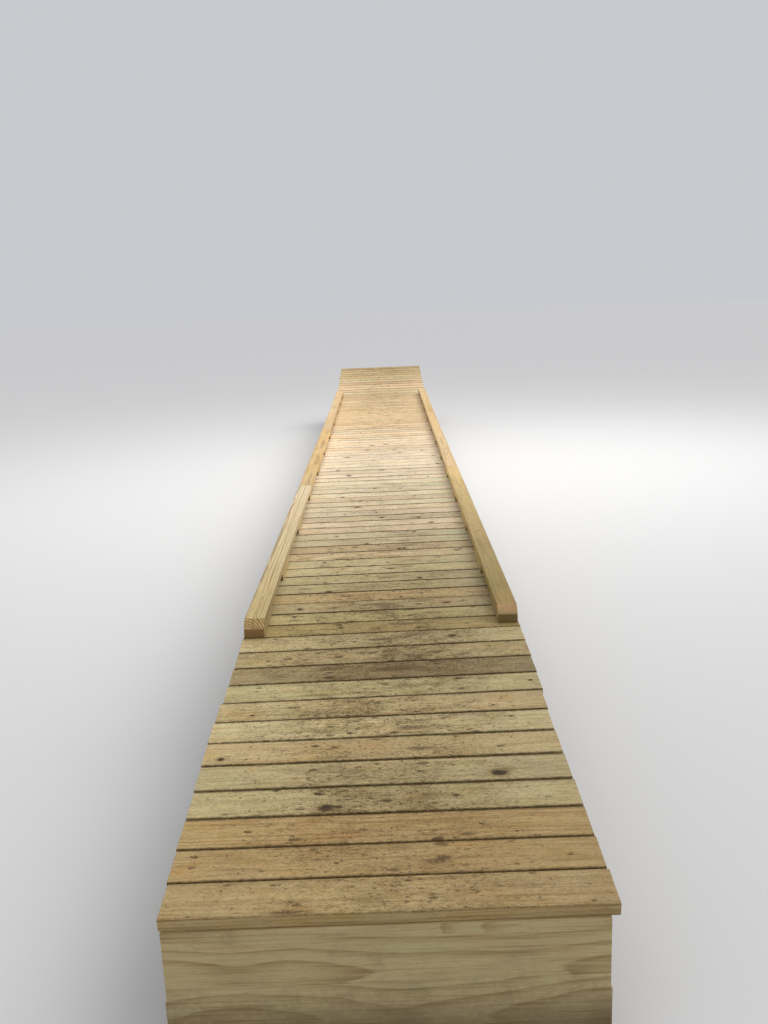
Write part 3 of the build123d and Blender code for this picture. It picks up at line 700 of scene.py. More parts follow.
def board(name, length, width, thick, rng, info, stations=24, arris=0.003,
          bend=None, screws=(), slant=(False, False), mats=(), matrix=None,
          stands_for=(), cup=0.0, crook=0.0):
    """One board as its own mesh. Local axes: along, across, through.
    slant: 45 degree cuts at the two ends, top edge set back."""
    a, b = width / 2, thick / 2
    full = section(a, b, arris)
    small = section(a - 0.0012, b - 0.0012, arris)
    ease = 0.0012
    rings = []
    n = len(full)
    for k in range(stations + 1):
        f = k / stations
        rings.append((-length / 2 + ease + (length - 2 * ease) * f, full))
    rings = [(-length / 2, small)] + rings + [(length / 2, small)]
    verts, place, faces, fm, cut = [], [], [], [], []
    for j, (u, sec) in enumerate(rings):
        for (v, w) in sec:
            uu = u
            if slant[0] and u < 0 and j <= 1:
                uu = u + (w + b)
            elif slant[1] and u > 0 and j >= len(rings) - 2:
                uu = u - (w + b)
            place.append((uu, v, w))
            f = 2 * uu / length
            vv = v + crook * (1 - f * f)
            ww = w + cup * (1.0 - (v / a) ** 2) * (1 if abs(w) > b * 0.9 else 0.6)
            verts.append((uu, vv, ww))
    for j in range(len(rings) - 1):
        for k in range(n):
            k2 = (k + 1) % n
            faces.append((j * n + k, (j + 1) * n + k, (j + 1) * n + k2, j * n + k2))
            fm.append(0)
            cut.append(0.0)
    faces.append(tuple(range(n)))
    faces.append(tuple(reversed(range((len(rings) - 1) * n, len(rings) * n))))
    fm += [0, 0]
    cut += [1.0, 1.0]
    body_verts = len(verts)
    for (su, sv) in screws:
        before = len(faces)
        screw_geometry(verts, faces, fm, su, sv, b + cup * (1.0 - (sv / a) ** 2), rng.uniform(0, 1))
        cut += [0.0] * (len(faces) - before)
    place += [(x, y, z) for x, y, z in verts[body_verts:]]
    if bend is not None:
        verts = [bend(p) for p in verts]
    me = bpy.data.meshes.new(name)
    me.from_pydata(verts, [], faces)
    me.update()
    for i, p in enumerate(me.polygons):
        p.material_index = fm[i]
        p.use_smooth = True
    at = me.attributes.new("place", "FLOAT_VECTOR", "POINT")
    at.data.foreach_set("vector", [c for p in place for c in p])
    total = len(verts)
    for key in ("seed", "pith", "tone", "care", "lines"):
        at = me.attributes.new(key, "FLOAT_VECTOR", "POINT")
        at.data.foreach_set("vector", list(info.get(key, (1.0, 1.0, 0.0))) * total)
    for key in MARKS:
        at = me.attributes.new(key, "FLOAT_COLOR", "POINT")
        at.data.foreach_set("color", list(info.get(key, (0.0, 0.0, 0.0, 1.0))) * total)
    # the tint may change from the near end of a stick to its far end; this paints light and shade along it, such as the
    # shaded near end of a curb rail and the lit left and shaded right ends of the deck boards
    tint = info.get("wash", PLAIN)
    tint_far = info.get("wash_far", tint)
    tint_mid = info.get("wash_mid", blend3(tint, tint_far, 0.5))
    inner, inner_face_light, inner_face_light_far = info.get("inner_face_light", (0, 1.0, 1.0))
    lit_top_near_end = info.get("lit_top_near_end", PLAIN)
    tints = []
    for p in place:
        f = p[0] / length + 0.5
        x = blend3(tint, tint_mid, 2 * f) if f < 0.5 else blend3(tint_mid, tint_far, 2 * f - 1)
        # painted light on the rails' inner face: brightened or darkened by how the light falls on that side
        k = inner_face_light + (inner_face_light_far - inner_face_light) * f if p[1] * inner > a - 0.0004 else 1.0
        # painted light: the upper half near the start of the stick is lightened where light falls on the top and bevel
        if p[2] > 0.0:
            x = [c * q for c, q in zip(x, blend3(lit_top_near_end, PLAIN, min(1.0, f * length / 0.30)))]
        tints += [x[0] * k, x[1] * k, x[2] * k, 1.0]
    at = me.attributes.new("wash", "FLOAT_COLOR", "POINT")
    at.data.foreach_set("color", tints)
    at = me.attributes.new("end", "FLOAT_COLOR", "POINT")
    at.data.foreach_set("color", list(info.get("end", lin(150, 118, 78)[:3] + (0.6,))) * total)
    at = me.attributes.new("roam", "FLOAT", "POINT")
    at.data.foreach_set("value", [info.get("roam", 1.0)] * total)
    at = me.attributes.new("cut", "FLOAT", "CORNER")
    vals = []
    for i, p in enumerate(me.polygons):
        vals += [cut[i]] * p.loop_total
    at.data.foreach_set("value", vals)
    # the sawn end meets the arris at a crisp line
    sharp = me.attributes.new("sharp_edge", "BOOLEAN", "EDGE")
    ends = {}
    for i, p in enumerate(me.polygons):
        if cut[i] > 0.5:
            for ek in p.edge_keys:
                ends[ek] = True
    sharp.data.foreach_set("value", [tuple(e.key) in ends for e in me.edges])
    ob = bpy.data.objects.new(name, me)
    bpy.context.scene.collection.objects.link(ob)
    for mt in mats:
        me.materials.append(mt)
    if matrix is not None:
        ob.matrix_world = matrix
    wn = ob.modifiers.new("weighted", "WEIGHTED_NORMAL")
    wn.keep_sharp = True
    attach(ob, "root")
    for node in stands_for:
        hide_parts(node)
    return ob


def plank_matrix(st, z_top, slope, shift, skew):
    y = st - Y0 + math.sin(slope) * T / 2
    z = z_top - math.cos(slope) * T / 2
    return (Matrix.Translation((shift, y, z)) @ Matrix.Rotation(slope, 4, "X")
            @ Matrix.Rotation(math.atan(skew), 4, "Z"))


# tints of the boards: fresh and golden, greenish, dull, and the paler,
# creamier look of the boards out on the span, which paints the brighter light
# there against the shade of the near ramp
PLAIN = (1.0, 1.0, 1.0)
GOLD = (0.86, 0.80, 0.73)
GREENISH = (0.89, 0.855, 0.83)
DULL = (0.64, 0.59, 0.48)
OCHRE = (0.80, 0.76, 0.62)
CREAM = (1.47, 1.54, 2.30)
SOFT_CREAM = (1.32, 1.26, 1.56)

# how one board differs from its neighbours
TAN = (0.94, 0.89, 0.78)
BEIGE = (0.985, 0.965, 0.92)
GREY = (0.91, 0.92, 0.91)
GREENER = (0.965, 1.0, 0.92)
PINKISH = (1.02, 0.98, 0.94)


def blend3(a, b, f):
    return tuple(x + (y - x) * f for x, y in zip(a, b))


# tone: warm, green, dark.  The near-ramp boards were looked at one by one;
# marks are (along, across, size, stretch) on the board, in metres; the first
# pair of numbers paints light on the left end and shade on the right end.
NEAR = [
    dict(painted_light_ends=(1.00, 0.90), lines=(1.0, 1.0, 0.10), wash=GOLD, tone=(0.06, -0.10, 0.04), pith=(0.020, -0.085, 0.0085), dirt=0.56,
         smear_1=(-0.27, -0.058, 0.012, 6.0), smear_2=(-0.05, -0.022, 0.022, 3.2), spot=(0.054, 0.050, 0.006, 2.4)),
    dict(painted_light_ends=(1.03, 0.86), lines=(1.0, 1.0, 0.55), wash=GOLD, tone=(0.17, -0.22, 0.00), pith=(-0.030, -0.060, 0.0090), dirt=0.56,
         smear_1=(0.14, -0.018, 0.016, 3.5), smear_2=(0.037, 0.046, 0.014, 3.5), spot=(-0.141, -0.012, 0.006, 1.8),
         bloom=(-0.585, -0.020, 0.028, 1.2)),
    dict(painted_light_ends=(1.07, 0.92), lines=(1.0, 1.0, 0.50), wash=GOLD, rings=0.72, tone=(0.30, -0.30, 0.02), pith=(0.010, -0.040, 0.0105), dirt=0.60,
         smear_1=(0.244, -0.045, 0.010, 3.2), smear_2=(0.012, -0.037, 0.010, 2.5), spot=(0.389, -0.039, 0.004, 2.5),
         bloom=(-0.16, -0.030, 0.040, 3.2)),
    dict(painted_light_ends=(1.12, 0.95), lines=(1.0, 1.0, 0.80), wash=GREENISH, tone=(-0.22, 0.26, 0.00), pith=(0.0, -0.120, 0.0080), dirt=0.75,
         knot_1=(-0.181, -0.039, 0.0185, 1.6), smear_1=(-0.261, -0.040, 0.009, 3.0), smear_2=(0.150, 0.005, 0.022, 4.0),
         spot=(-0.045, 0.005, 0.006, 2.2), bloom=(0.10, 0.008, 0.020, 3.5)),
    dict(painted_light_ends=(1.01, 0.84), lines=(1.0, 1.0, 0.25), wash=GREENISH, tone=(-0.20, 0.24, 0.00), pith=(0.020, -0.150, 0.0075), dirt=0.60,
         knot_1=(0.380, -0.029, 0.0180, 1.7), smear_1=(-0.117, -0.022, 0.006, 3.0), smear_2=(0.40, -0.010, 0.016, 2.5),
         bloom=(-0.281, -0.034, 0.024, 2.0)),
    dict(painted_light_ends=(1.22, 1.03), lines=(1.0, 1.0, 0.45), wash=blend3(GREENISH, GOLD, 0.4), tone=(0.00, 0.06, 0.06), pith=(-0.040, -0.090, 0.0080), dirt=0.76,
         knot_1=(-0.548, -0.034, 0.0110, 1.3), smear_1=(0.131, -0.012, 0.018, 3.5), smear_2=(-0.186, -0.045, 0.016, 4.0),
         bloom=(-0.020, 0.012, 0.026, 3.2)),
    dict(painted_light_ends=(1.24, 1.02), lines=(1.0, 1.0, 0.28), wash=PLAIN, tone=(0.00, 0.10, 0.08), pith=(0.050, -0.060, 0.0085), dirt=0.76,
         smear_1=(0.104, -0.020, 0.020, 4.0), smear_2=(-0.217, -0.024, 0.018, 2.6), spot=(-0.341, -0.032, 0.004, 1.8),
         bloom=(-0.018, -0.003, 0.026, 3.5)),
    dict(painted_light_ends=(1.18, 0.98), lines=(1.0, 1.0, 0.36), wash=blend3(GOLD, GREENISH, 0.8), tone=(0.02, 0.02, 0.02), pith=(-0.020, -0.070, 0.0085), dirt=0.85,
         knot_1=(-0.477, -0.030, 0.0055, 1.8), knot_2=(0.413, -0.032, 0.0050, 1.5), smear_1=(-0.331, 0.014, 0.014, 2.6),
         smear_2=(-0.189, 0.016, 0.014, 3.2), spot=(0.449, 0.013, 0.005, 2.6), bloom=(-0.55, 0.0, 0.022, 2.2)),
    dict(painted_light_ends=(1.11, 0.98), lines=(1.0, 1.0, 0.50), wash=(0.855, 0.86, 0.81), tone=(-0.12, 0.16, -0.02), pith=(0.030, -0.110, 0.0080), dirt=0.85,
         knot_1=(0.575, 0.005, 0.0070, 1.2), smear_1=(0.222, 0.0, 0.0065, 3.0), smear_2=(-0.287, -0.037, 0.012, 3.2),
         spot=(0.082, 0.012, 0.0060, 1.8)),
    dict(painted_light_ends=(1.18, 0.84), lines=(1.0, 1.0, 1.20), wash=blend3((0.61, 0.575, 0.465), GREENISH, 0.30), tone=(-0.02, 0.04, 0.26), pith=(-0.010, -0.050, 0.0070), dirt=1.30,
         smear_1=(0.05, 0.010, 0.026, 5.0), smear_2=(-0.44, -0.005, 0.014, 3.5), spot=(-0.218, 0.000, 0.011, 1.5)),
    dict(painted_light_ends=(1.16, 1.04), lines=(1.0, 1.0, 0.60), wash=blend3(GREENISH, (0.66, 0.64, 0.55), 0.50), tone=(0.06, -0.02, 0.05), pith=(0.0, -0.080, 0.0085), dirt=1.15,
         knot_1=(-0.385, -0.004, 0.0065, 1.3), knot_2=(-0.475, -0.016, 0.0055, 1.6), smear_1=(0.336, -0.032, 0.014, 3.6),
         smear_2=(-0.18, 0.010, 0.011, 3.0)),
    dict(painted_light_ends=(1.24, 1.03), lines=(1.0, 1.0, 0.60), wash=blend3(GREENISH, (0.68, 0.69, 0.62), 0.20), tone=(-0.04, 0.12, 0.03), pith=(0.040, -0.100, 0.0080), dirt=1.05,
         knot_1=(0.306, 0.004, 0.0120, 1.7), smear_1=(0.02, 0.0, 0.018, 5.0), smear_2=(0.11, -0.050, 0.009, 3.0),
         spot=(-0.218, -0.036, 0.0090, 0.9)),
]

# marks on the boards of the level deck, told apart one by one
DECK_MARKS = {
    0: dict(hue=(0.97, 0.955, 0.86), tone=(-0.02, 0.06, 0.04), dirt=1.05, knot_1=(-0.183, 0.006, 0.0135, 1.4),
            smear_1=(0.10, 0.020, 0.0196, 5.0)),
    1: dict(hue=GREENER, tone=(-0.06, 0.10, 0.02), dirt=1.0, smear_1=(-0.401, -0.016, 0.0126, 4.0),
            smear_2=(0.404, -0.016, 0.0098, 5.0), spot=(-0.295, -0.030, 0.0081, 1.3)),
    2: dict(hue=GREY, tone=(0.02, 0.04, 0.04), dirt=1.05, knot_1=(-0.393, -0.013, 0.0180, 1.5),
            knot_2=(0.306, -0.007, 0.0142, 3.0), spot=(0.132, 0.033, 0.0068, 1.5), smear_1=(0.0, 0.012, 0.0224, 5.0)),
    3: dict(hue=TAN, tone=(0.10, -0.10, 0.04), dirt=0.9, knot_2=(0.194, 0.007, 0.0083, 1.4),
            smear_1=(-0.183, 0.005, 0.0126, 5.0), spot=(-0.358, 0.036, 0.0081, 1.5)),
    4: dict(hue=GREENER, tone=(-0.10, 0.12, 0.02), dirt=0.8, knot_1=(-0.269, -0.058, 0.0173, 2.4),
            smear_1=(-0.388, 0.007, 0.0112, 4.0), smear_2=(0.320, -0.062, 0.0084, 5.0)),
    5: dict(hue=GREENER, tone=(-0.08, 0.10, 0.02), dirt=0.8, knot_1=(0.197, -0.034, 0.0180, 1.4),
            smear_1=(0.02, 0.0, 0.0140, 5.0)),
    6: dict(hue=GREENER, tone=(-0.04, 0.10, 0.02), dirt=0.7, knot_1=(0.052, 0.011, 0.0135, 3.8),
            knot_2=(-0.239, -0.020, 0.0083, 1.2), spot=(-0.208, 0.035, 0.0095, 1.2)),
    7: dict(hue=GREENER, tone=(-0.04, 0.08, 0.02), dirt=0.7, smear_1=(-0.316, -0.054, 0.0140, 5.0),
            smear_2=(0.276, -0.034, 0.0126, 4.5), spot=(-0.173, 0.008, 0.0081, 1.2)),
    8: dict(hue=BEIGE, tone=(0.06, -0.04, 0.06), dirt=0.95, knot_1=(0.428, 0.018, 0.0120, 3.4),
            smear_1=(-0.447, -0.028, 0.0112, 5.0), spot=(-0.287, 0.042, 0.0095, 1.6)),
    9: dict(hue=TAN, tone=(0.08, -0.06, 0.02), dirt=0.8, knot_1=(0.098, -0.043, 0.0195, 1.2),
            knot_2=(0.126, -0.040, 0.0188, 1.2)),
    10: dict(hue=GREENER, tone=(-0.08, 0.10, 0.0), dirt=0.55, knot_1=(-0.088, -0.052, 0.0150, 1.6),
             knot_2=(-0.236, 0.058, 0.0090, 1.5), spot=(0.159, 0.038, 0.0095, 1.6)),
    11: dict(hue=GREENER, tone=(-0.06, 0.10, 0.0), dirt=0.6, knot_1=(0.204, 0.038, 0.0173, 1.4),
             knot_2=(-0.275, -0.007, 0.0120, 1.6)),
    12: dict(hue=PINKISH, tone=(0.06, 0.0, 0.0), dirt=0.6, smear_1=(0.500, 0.040, 0.0112, 5.0)),
    13: dict(hue=PLAIN, tone=(0.0, 0.06, 0.0), dirt=0.55, knot_1=(0.318, -0.041, 0.0158, 2.6),
             smear_1=(-0.379, -0.060, 0.0112, 3.5)),
    14: dict(hue=BEIGE, tone=(0.02, 0.04, 0.0), dirt=0.7, knot_1=(0.003, -0.003, 0.0165, 2.4),
             knot_2=(0.242, -0.031, 0.0180, 1.8), smear_1=(0.205, -0.025, 0.0140, 3.5)),
    15: dict(hue=PLAIN, tone=(0.0, 0.02, 0.0), dirt=0.5, knot_1=(-0.033, 0.0, 0.0120, 1.2),
             knot_2=(-0.247, -0.009, 0.0112, 1.2), spot=(-0.364, 0.013, 0.0121, 1.2)),
    16: dict(hue=BEIGE, tone=(0.0, 0.02, 0.0), dirt=0.55, knot_1=(-0.170, 0.038, 0.0188, 2.8)),
    17: dict(hue=GREENER, tone=(-0.04, 0.10, 0.0), dirt=0.5),
    19: dict(hue=GREENER, tone=(-0.04, 0.10, 0.0), dirt=0.5, knot_1=(-0.285, -0.058, 0.0173, 1.6)),
    20: dict(hue=PLAIN, tone=(0.0, 0.06, 0.0), dirt=0.55, knot_1=(-0.043, 0.056, 0.0150, 2.0),
             knot_2=(0.149, 0.022, 0.0142, 1.8)),
    21: dict(hue=GREENER, tone=(-0.04, 0.10, 0.0), dirt=0.55, smear_1=(0.074, 0.044, 0.0168, 5.5)),
    22: dict(hue=GREENER, tone=(-0.06, 0.10, 0.0), dirt=0.4),
    24: dict(hue=PLAIN, tone=(0.0, 0.04, 0.0), dirt=0.5, knot_1=(-0.261, 0.010, 0.0232, 1.8)),
    25: dict(hue=BEIGE, tone=(0.0, 0.0, 0.0), dirt=0.5, knot_1=(0.002, 0.052, 0.0173, 1.8)),
    26: dict(hue=PLAIN, tone=(0.0, 0.02, 0.0), dirt=0.5, knot_1=(-0.364, -0.045, 0.0195, 1.6),
             smear_1=(-0.445, 0.058, 0.0140, 4.0)),
    27: dict(hue=GREENER, tone=(-0.04, 0.06, 0.0), dirt=0.4, knot_1=(0.475, -0.050, 0.0180, 1.8)),
    29: dict(hue=PLAIN, tone=(0.0, 0.0, 0.0), dirt=0.4, knot_1=(0.465, 0.056, 0.0158, 1.5)),
    30: dict(hue=PLAIN, tone=(0.0, 0.0, 0.0), dirt=0.4, knot_1=(-0.305, -0.006, 0.0232, 2.4)),
    31: dict(hue=PLAIN, tone=(0.0, 0.0, 0.0), dirt=0.5, knot_1=(0.164, -0.013, 0.0165, 1.5),
             knot_2=(0.377, 0.054, 0.0173, 1.5)),
    32: dict(hue=BEIGE, tone=(0.04, 0.0, 0.0), dirt=0.5, knot_1=(-0.122, 0.046, 0.0195, 1.8),
             knot_2=(0.123, 0.016, 0.0210, 1.6)),
    33: dict(hue=TAN, tone=(0.12, -0.14, 0.0), dirt=0.4),
    34: dict(hue=PLAIN, tone=(0.04, -0.04, 0.0), dirt=0.5, knot_1=(0.043, 0.050, 0.0232, 2.2),
             knot_2=(-0.092, 0.014, 0.0188, 2.4)),
    35: dict(hue=TAN, tone=(0.10, -0.12, 0.0), dirt=0.4),
    39: dict(hue=TAN), 43: dict(hue=TAN), 44: dict(hue=TAN), 47: dict(hue=BEIGE), 52: dict(hue=TAN),
    56: dict(hue=BEIGE), 60: dict(hue=TAN),
}


for _n, _r in ((8, 0.020), (9, 0.022), (10, 0.030), (11, 0.034), (12, 0.028), (14, 0.030), (17, 0.034),
               (18, 0.030), (19, 0.030), (21, 0.034), (22, 0.030), (27, 0.026), (28, 0.030)):
    DECK_MARKS.setdefault(_n, {})["salt"] = (0.44, 0.0, _r, 3.6)


def free_info(i, rng):
    """Figure and marks for a board that is not described one by one."""
    g = rng.uniform(-0.16, 0.16)
    # painted light and shade: dull by the fold where shade falls, creamy out on the spans where the light is brightest,
    # plainer again at the far end
    if i <= 26:
        base = blend3(OCHRE, CREAM, (i / 26.0) ** 0.72)
    elif i <= 36:
        base = CREAM
    elif i <= 46:
        base = blend3(CREAM, SOFT_CREAM, (i - 36) / 10.0)
    elif i <= 68:
        base = SOFT_CREAM
    else:
        base = blend3(SOFT_CREAM, GREENISH, (i - 68) / 8.0)
    lift = rng.uniform(0.90, 1.07)
    hue = rng.choice((PLAIN, BEIGE, GREENER, (1.01, 0.97, 0.90), (0.97, 1.0, 0.97)))
    info = dict(
        base=base, lift=lift, hue=hue,
        tone=(-0.7 * g + rng.uniform(-0.12, 0.06), g, max(0.0, rng.uniform(-0.12, 0.12))),
        pith=(rng.uniform(-0.05, 0.05), -rng.uniform(0.035, 0.13), rng.uniform(0.0070, 0.0105)),
        dirt=rng.uniform(0.35, 0.85))
    if rng.random() < 0.55:
        info["knot_1"] = (rng.uniform(-0.55, 0.55), rng.uniform(-0.05, 0.05), rng.uniform(0.006, 0.0135), rng.uniform(1.2, 1.9))
    if rng.random() < 0.22:
        info["knot_2"] = (rng.uniform(-0.5, 0.5), rng.uniform(-0.05, 0.05), rng.uniform(0.005, 0.009), rng.uniform(1.2, 1.8))
    if rng.random() < 0.75:
        info["smear_1"] = (rng.gauss(0, 0.22), rng.uniform(-0.05, 0.05), rng.uniform(0.006, 0.018), rng.uniform(2.5, 5.0))
    if rng.random() < 0.6:
        info["smear_2"] = (rng.gauss(0, 0.20), rng.uniform(-0.05, 0.05), rng.uniform(0.008, 0.018), rng.uniform(2.5, 4.5))
    if rng.random() < 0.5:
        info["spot"] = (rng.uniform(-0.5, 0.5), rng.uniform(-0.05, 0.05), rng.uniform(0.003, 0.006), rng.uniform(1.5, 3.5))
    if rng.random() < 0.35:
        info["bloom"] = (rng.uniform(-0.55, 0.55), rng.uniform(-0.03, 0.03), rng.uniform(0.02, 0.035), rng.uniform(1.5, 3.5))
    return info


def screw_places(rng):
    j = lambda q: rng.uniform(-q, q)
    return [(-0.455 + j(.004), 0.035 + j(.004)), (-0.417 + j(.004), -0.039 + j(.004)),
            (0.012 + j(.004), 0.036 + j(.004)), (-0.010 + j(.004), -0.038 + j(.004)),
            (0.446 + j(.006), 0.035 + j(.004)), (0.404 + j(.006), -0.038 + j(.004))]


def lay_plank(name, node, i, info, matrix):
    rng = random.Random(1000 + i)
    info = dict(info)
    dirt = info.pop("dirt")
    if "base" in info:
        hue = blend3(info["hue"], (0.99, 0.985, 0.95), 0.35) if 110 <= i < 145 else info["hue"]
        info["wash"] = tuple(x * h * info["lift"] for x, h in zip(info["base"], hue))
    # painted light and shade: paler at the left end where more light falls, darker at the right end in the shade of the
    # right rail
    left, right = info.pop("painted_light_ends", (1.06, 0.96))
    tint = info["wash"]
    if 3 <= i < NEAR_N:
        tint = tuple(x * y for x, y in zip(tint, (1.06, 1.09, 1.13)))
    elif 100 <= i < 109:
        tint = tuple(x * y for x, y in zip(tint, (1.03, 1.04, 1.02)))
    elif i < 3:
        tint = tuple(x * y for x, y in zip(tint, (0.99, 0.99, 0.99)))
    if i >= 100:
        # knots on the span are small and compact
        for key in ("knot_1", "knot_2"):
            if key in info:
                a, b, r, stretch = info[key]
                info[key] = (a, b, r * 0.92, 0.65 + (stretch - 1.0) * 0.45)
    info["wash"] = tuple(x * left for x in tint)
    info["wash_mid"] = tint
    info["wash_far"] = tuple(x * right for x in tint)
    # the edge grime, with its painted gap shade, is stronger on the span boards so that their gaps still read from afar
    info["care"] = (dirt * (1.45 if i < NEAR_N + 92 else 1.2), 0.35 if i == 0 else rng.uniform(0.80, 1.0) if i < NEAR_N else rng.uniform(1.15, 1.45),
                    info.pop("rings", 0.46))
    info["seed"] = (rng.uniform(-40, 40), rng.uniform(-40, 40), rng.uniform(-40, 40))
    return board(name, L, W, T, rng, info, stations=24, arris=0.0032,
                 screws=screw_places(rng), mats=(DECK, SCREW, RIM), matrix=matrix,
                 stands_for=(node,),
                 cup=rng.uniform(-0.0006, 0.0004), crook=rng.uniform(-0.0008, 0.0008))


for i in range(NEAR_N):
    s = (i + 0.5 - NEAR_N) * PITCH + NEAR_MOVE[i] / 1000.0
    lay_plank("near_ramp_plank_%02d" % (i + 1), "near_ramp_planks", i, NEAR[i],
              plank_matrix(s * math.cos(NA), DECK_H + s * math.sin(NA), NA,
                           NEAR_SHIFT[i] / 1000.0, NEAR_SKEW[i]))

# how dark the painted shade and dirt along each gap between two boards
# looks: some gaps are packed with dirt or lie deeper in shade, and some are
# nearly closed
_r = random.Random(77)
GAPS = [0.35, 0.80, 1.15, 0.25, 1.20, 0.75, 1.15, 0.60, 0.55, 0.85, 1.00, 0.60, 1.15, 0.65, 0.90,
        1.20, 0.40, 0.95, 0.75, 0.35, 1.20, 0.30, 0.35, 0.90, 1.20, 0.40, 1.05, 0.55, 0.30, 0.35,
        0.50, 0.40, 0.30, 0.60, 0.75, 0.45, 0.55, 0.80, 1.05, 0.50, 0.60, 0.80, 1.30]
while len(GAPS) < 80:
    GAPS.append(1.20 if len(GAPS) == 56 else _r.choice((0.20, 0.35, 0.55, 0.75, 0.90)))

for n in range(3 * SPAN_N):
    rng = random.Random(300 + n)
    info = free_info(n, rng)
    if n in DECK_MARKS:
        for key in ("knot_1", "knot_2", "smear_1", "smear_2", "spot", "bloom"):
            if key in info and rng.random() < 0.5:
                info.pop(key)
        info.update(DECK_MARKS[n])
    if n > 3:
        info["tone"] = (info["tone"][0] * 0.5, info["tone"][1] * 0.5 + 0.03, info["tone"][2])
    info["lines"] = (GAPS[n], GAPS[n + 1], 0.62 if n < 3 else 0.50 if n < 6 else 0.30 if n < 9 else 0.10)
    # the first span boards also get a painted lit left end and a shaded right end
    if n < 9:
        info["painted_light_ends"] = (1.08, 0.90) if n < 3 else (1.00, 0.74) if n < 6 else (1.14, 0.94)
    shift = wobble(n, 0.004)
    part, i = divmod(n, SPAN_N)
    s = (i + 0.5) * PITCH
    if part == 0:
        mtx = plank_matrix(s, DECK_H, 0.0, shift, main_skew(n))
    elif part == 1:
        mtx = plank_matrix(ST_1 + s, DECK_H, 0.0, shift, main_skew(n))
    else:
        mtx = plank_matrix(ST_2 + s * math.cos(TA), DECK_H + s * math.sin(TA), TA, shift, main_skew(n))
    lay_plank("deck_plank_%02d" % (n + 1), "deck_planks_%d" % (part + 1), 100 + n, info, mtx)

for i in range(FAR_N):
    n = i + 3 * SPAN_N
    rng = random.Random(300 + n)
    s = (i + 0.5) * PITCH
    lay_plank("far_ramp_plank_%02d" % (i + 1), "far_ramp_planks", 100 + n, free_info(n, rng),
              plank_matrix(ST_3 + s * math.cos(FA), DECK_H3 + s * math.sin(FA), FA,
                           wobble(n, 0.004), 0.0))

# ---------------------------------------------------------------------------
# curb rails and their blocks
# ---------------------------------------------------------------------------
LEFT_STARTS = [-0.010, 0.810, 1.770, 2.720, 3.660, 4.600, 5.540, 6.480, 7.420, 8.120, 8.8152]
RIGHT_STARTS = [0.060, 0.820, 1.690, 2.520, 3.340, 4.160, 4.990, 5.820, 6.640, 7.460, 8.200, 8.7552]
LEFT_JOINTS = [LEFT_STARTS[0], 2.890, 5.700, LEFT_STARTS[-1] + BLOCK_LEN]
RIGHT_JOINTS = [RIGHT_STARTS[0], 3.431, 6.700, RIGHT_STARTS[-1] + BLOCK_LEN]


def rail_bend(mid_station, x, lift):
    """Board coordinates to the row frame: along +Y, following the deck."""
    def at(p):
        st = mid_station + p[0]
        return (x - p[1], st - Y0, deck_z(st) + lift + p[2])
    return at


# painted light and shade along the curb rails: the wash tints darken the near end of the right rail, which lies in
# shade, and brighten the rails out on the span where the light is stronger
RAILS = [
    ("left_curb_rail_1", -1, LEFT_JOINTS[0], LEFT_JOINTS[1], (True, False),
     dict(wash=(0.95, 0.88, 0.72), wash_mid=(1.24, 1.21, 1.38), wash_far=(1.34, 1.34, 1.72), tone=(-0.06, 0.14, 0.0),
          pith=(0.036, -0.056, 0.0092), care=(0.35, 0.5, 1.00), roam=0.10, inner_face_light=(-1, 0.66, 1.10),
          smear_1=(0.010, -0.012, 0.85, 1.0), end=lin(214, 186, 136)[:3] + (1.0,))),
    ("left_curb_rail_2", -1, LEFT_JOINTS[1], LEFT_JOINTS[2], (False, False),
     dict(wash=(1.06, 0.95, 0.88), tone=(0.14, -0.06, 0.0), pith=(-0.020, -0.110, 0.0085), care=(0.12, 0.6, 0.75), roam=0.30,
          inner_face_light=(-1, 1.30, 1.45),
          end=lin(170, 140, 98)[:3] + (0.6,))),
    ("left_curb_rail_3", -1, LEFT_JOINTS[2], LEFT_JOINTS[3], (False, True),
     dict(wash=(0.94, 0.86, 0.88), wash_far=(1.20, 1.10, 1.22), tone=(0.04, 0.02, 0.0), pith=(0.030, -0.120, 0.0085), care=(0.35, 0.8, 0.55), roam=0.35,
          end=lin(176, 150, 108)[:3] + (0.5,))),
    ("right_curb_rail_1", 1, RIGHT_JOINTS[0], RIGHT_JOINTS[1], (True, False),
     dict(wash=(0.47, 0.41, 0.20), wash_mid=(0.84, 0.74, 0.57), wash_far=(1.22, 1.05, 0.88), tone=(0.02, 0.12, 0.03),
          pith=(-0.010, -0.085, 0.0075), care=(0.45, 0.8, 0.72), roam=0.45, inner_face_light=(1, 1.44, 1.40), lit_top_near_end=(1.38, 1.24, 1.36),
          spot=(-0.35, -0.006, 0.024, 0.26), smear_2=(-1.088, 0.030, 0.0050, 1.8), knot_1=(-1.380, 0.006, 0.0050, 1.8),
          knot_2=(-0.060, -0.007, 0.016, 5.0), end=(1.04, 0.81, 0.74, 0.20))),
    ("right_curb_rail_2", 1, RIGHT_JOINTS[1], RIGHT_JOINTS[2], (False, False),
     dict(wash=(1.10, 1.02, 1.08), wash_far=(1.00, 0.89, 0.86), tone=(0.04, 0.00, 0.0), pith=(0.0, -0.040, 0.0110),
          care=(0.35, 0.8, 0.80), roam=0.55, inner_face_light=(1, 0.94, 0.85), bloom=(-0.95, 0.0, 0.060, 11.0),
          end=lin(170, 140, 98)[:3] + (0.6,))),
    ("right_curb_rail_3", 1, RIGHT_JOINTS[2], RIGHT_JOINTS[3], (False, True),
     dict(wash=(0.90, 0.78, 0.68), wash_far=(1.16, 1.08, 1.10), tone=(0.0, 0.08, 0.0), pith=(0.025, -0.100, 0.0085), care=(0.35, 0.8, 0.60), roam=0.35,
          end=lin(176, 150, 108)[:3] + (0.5,))),
]
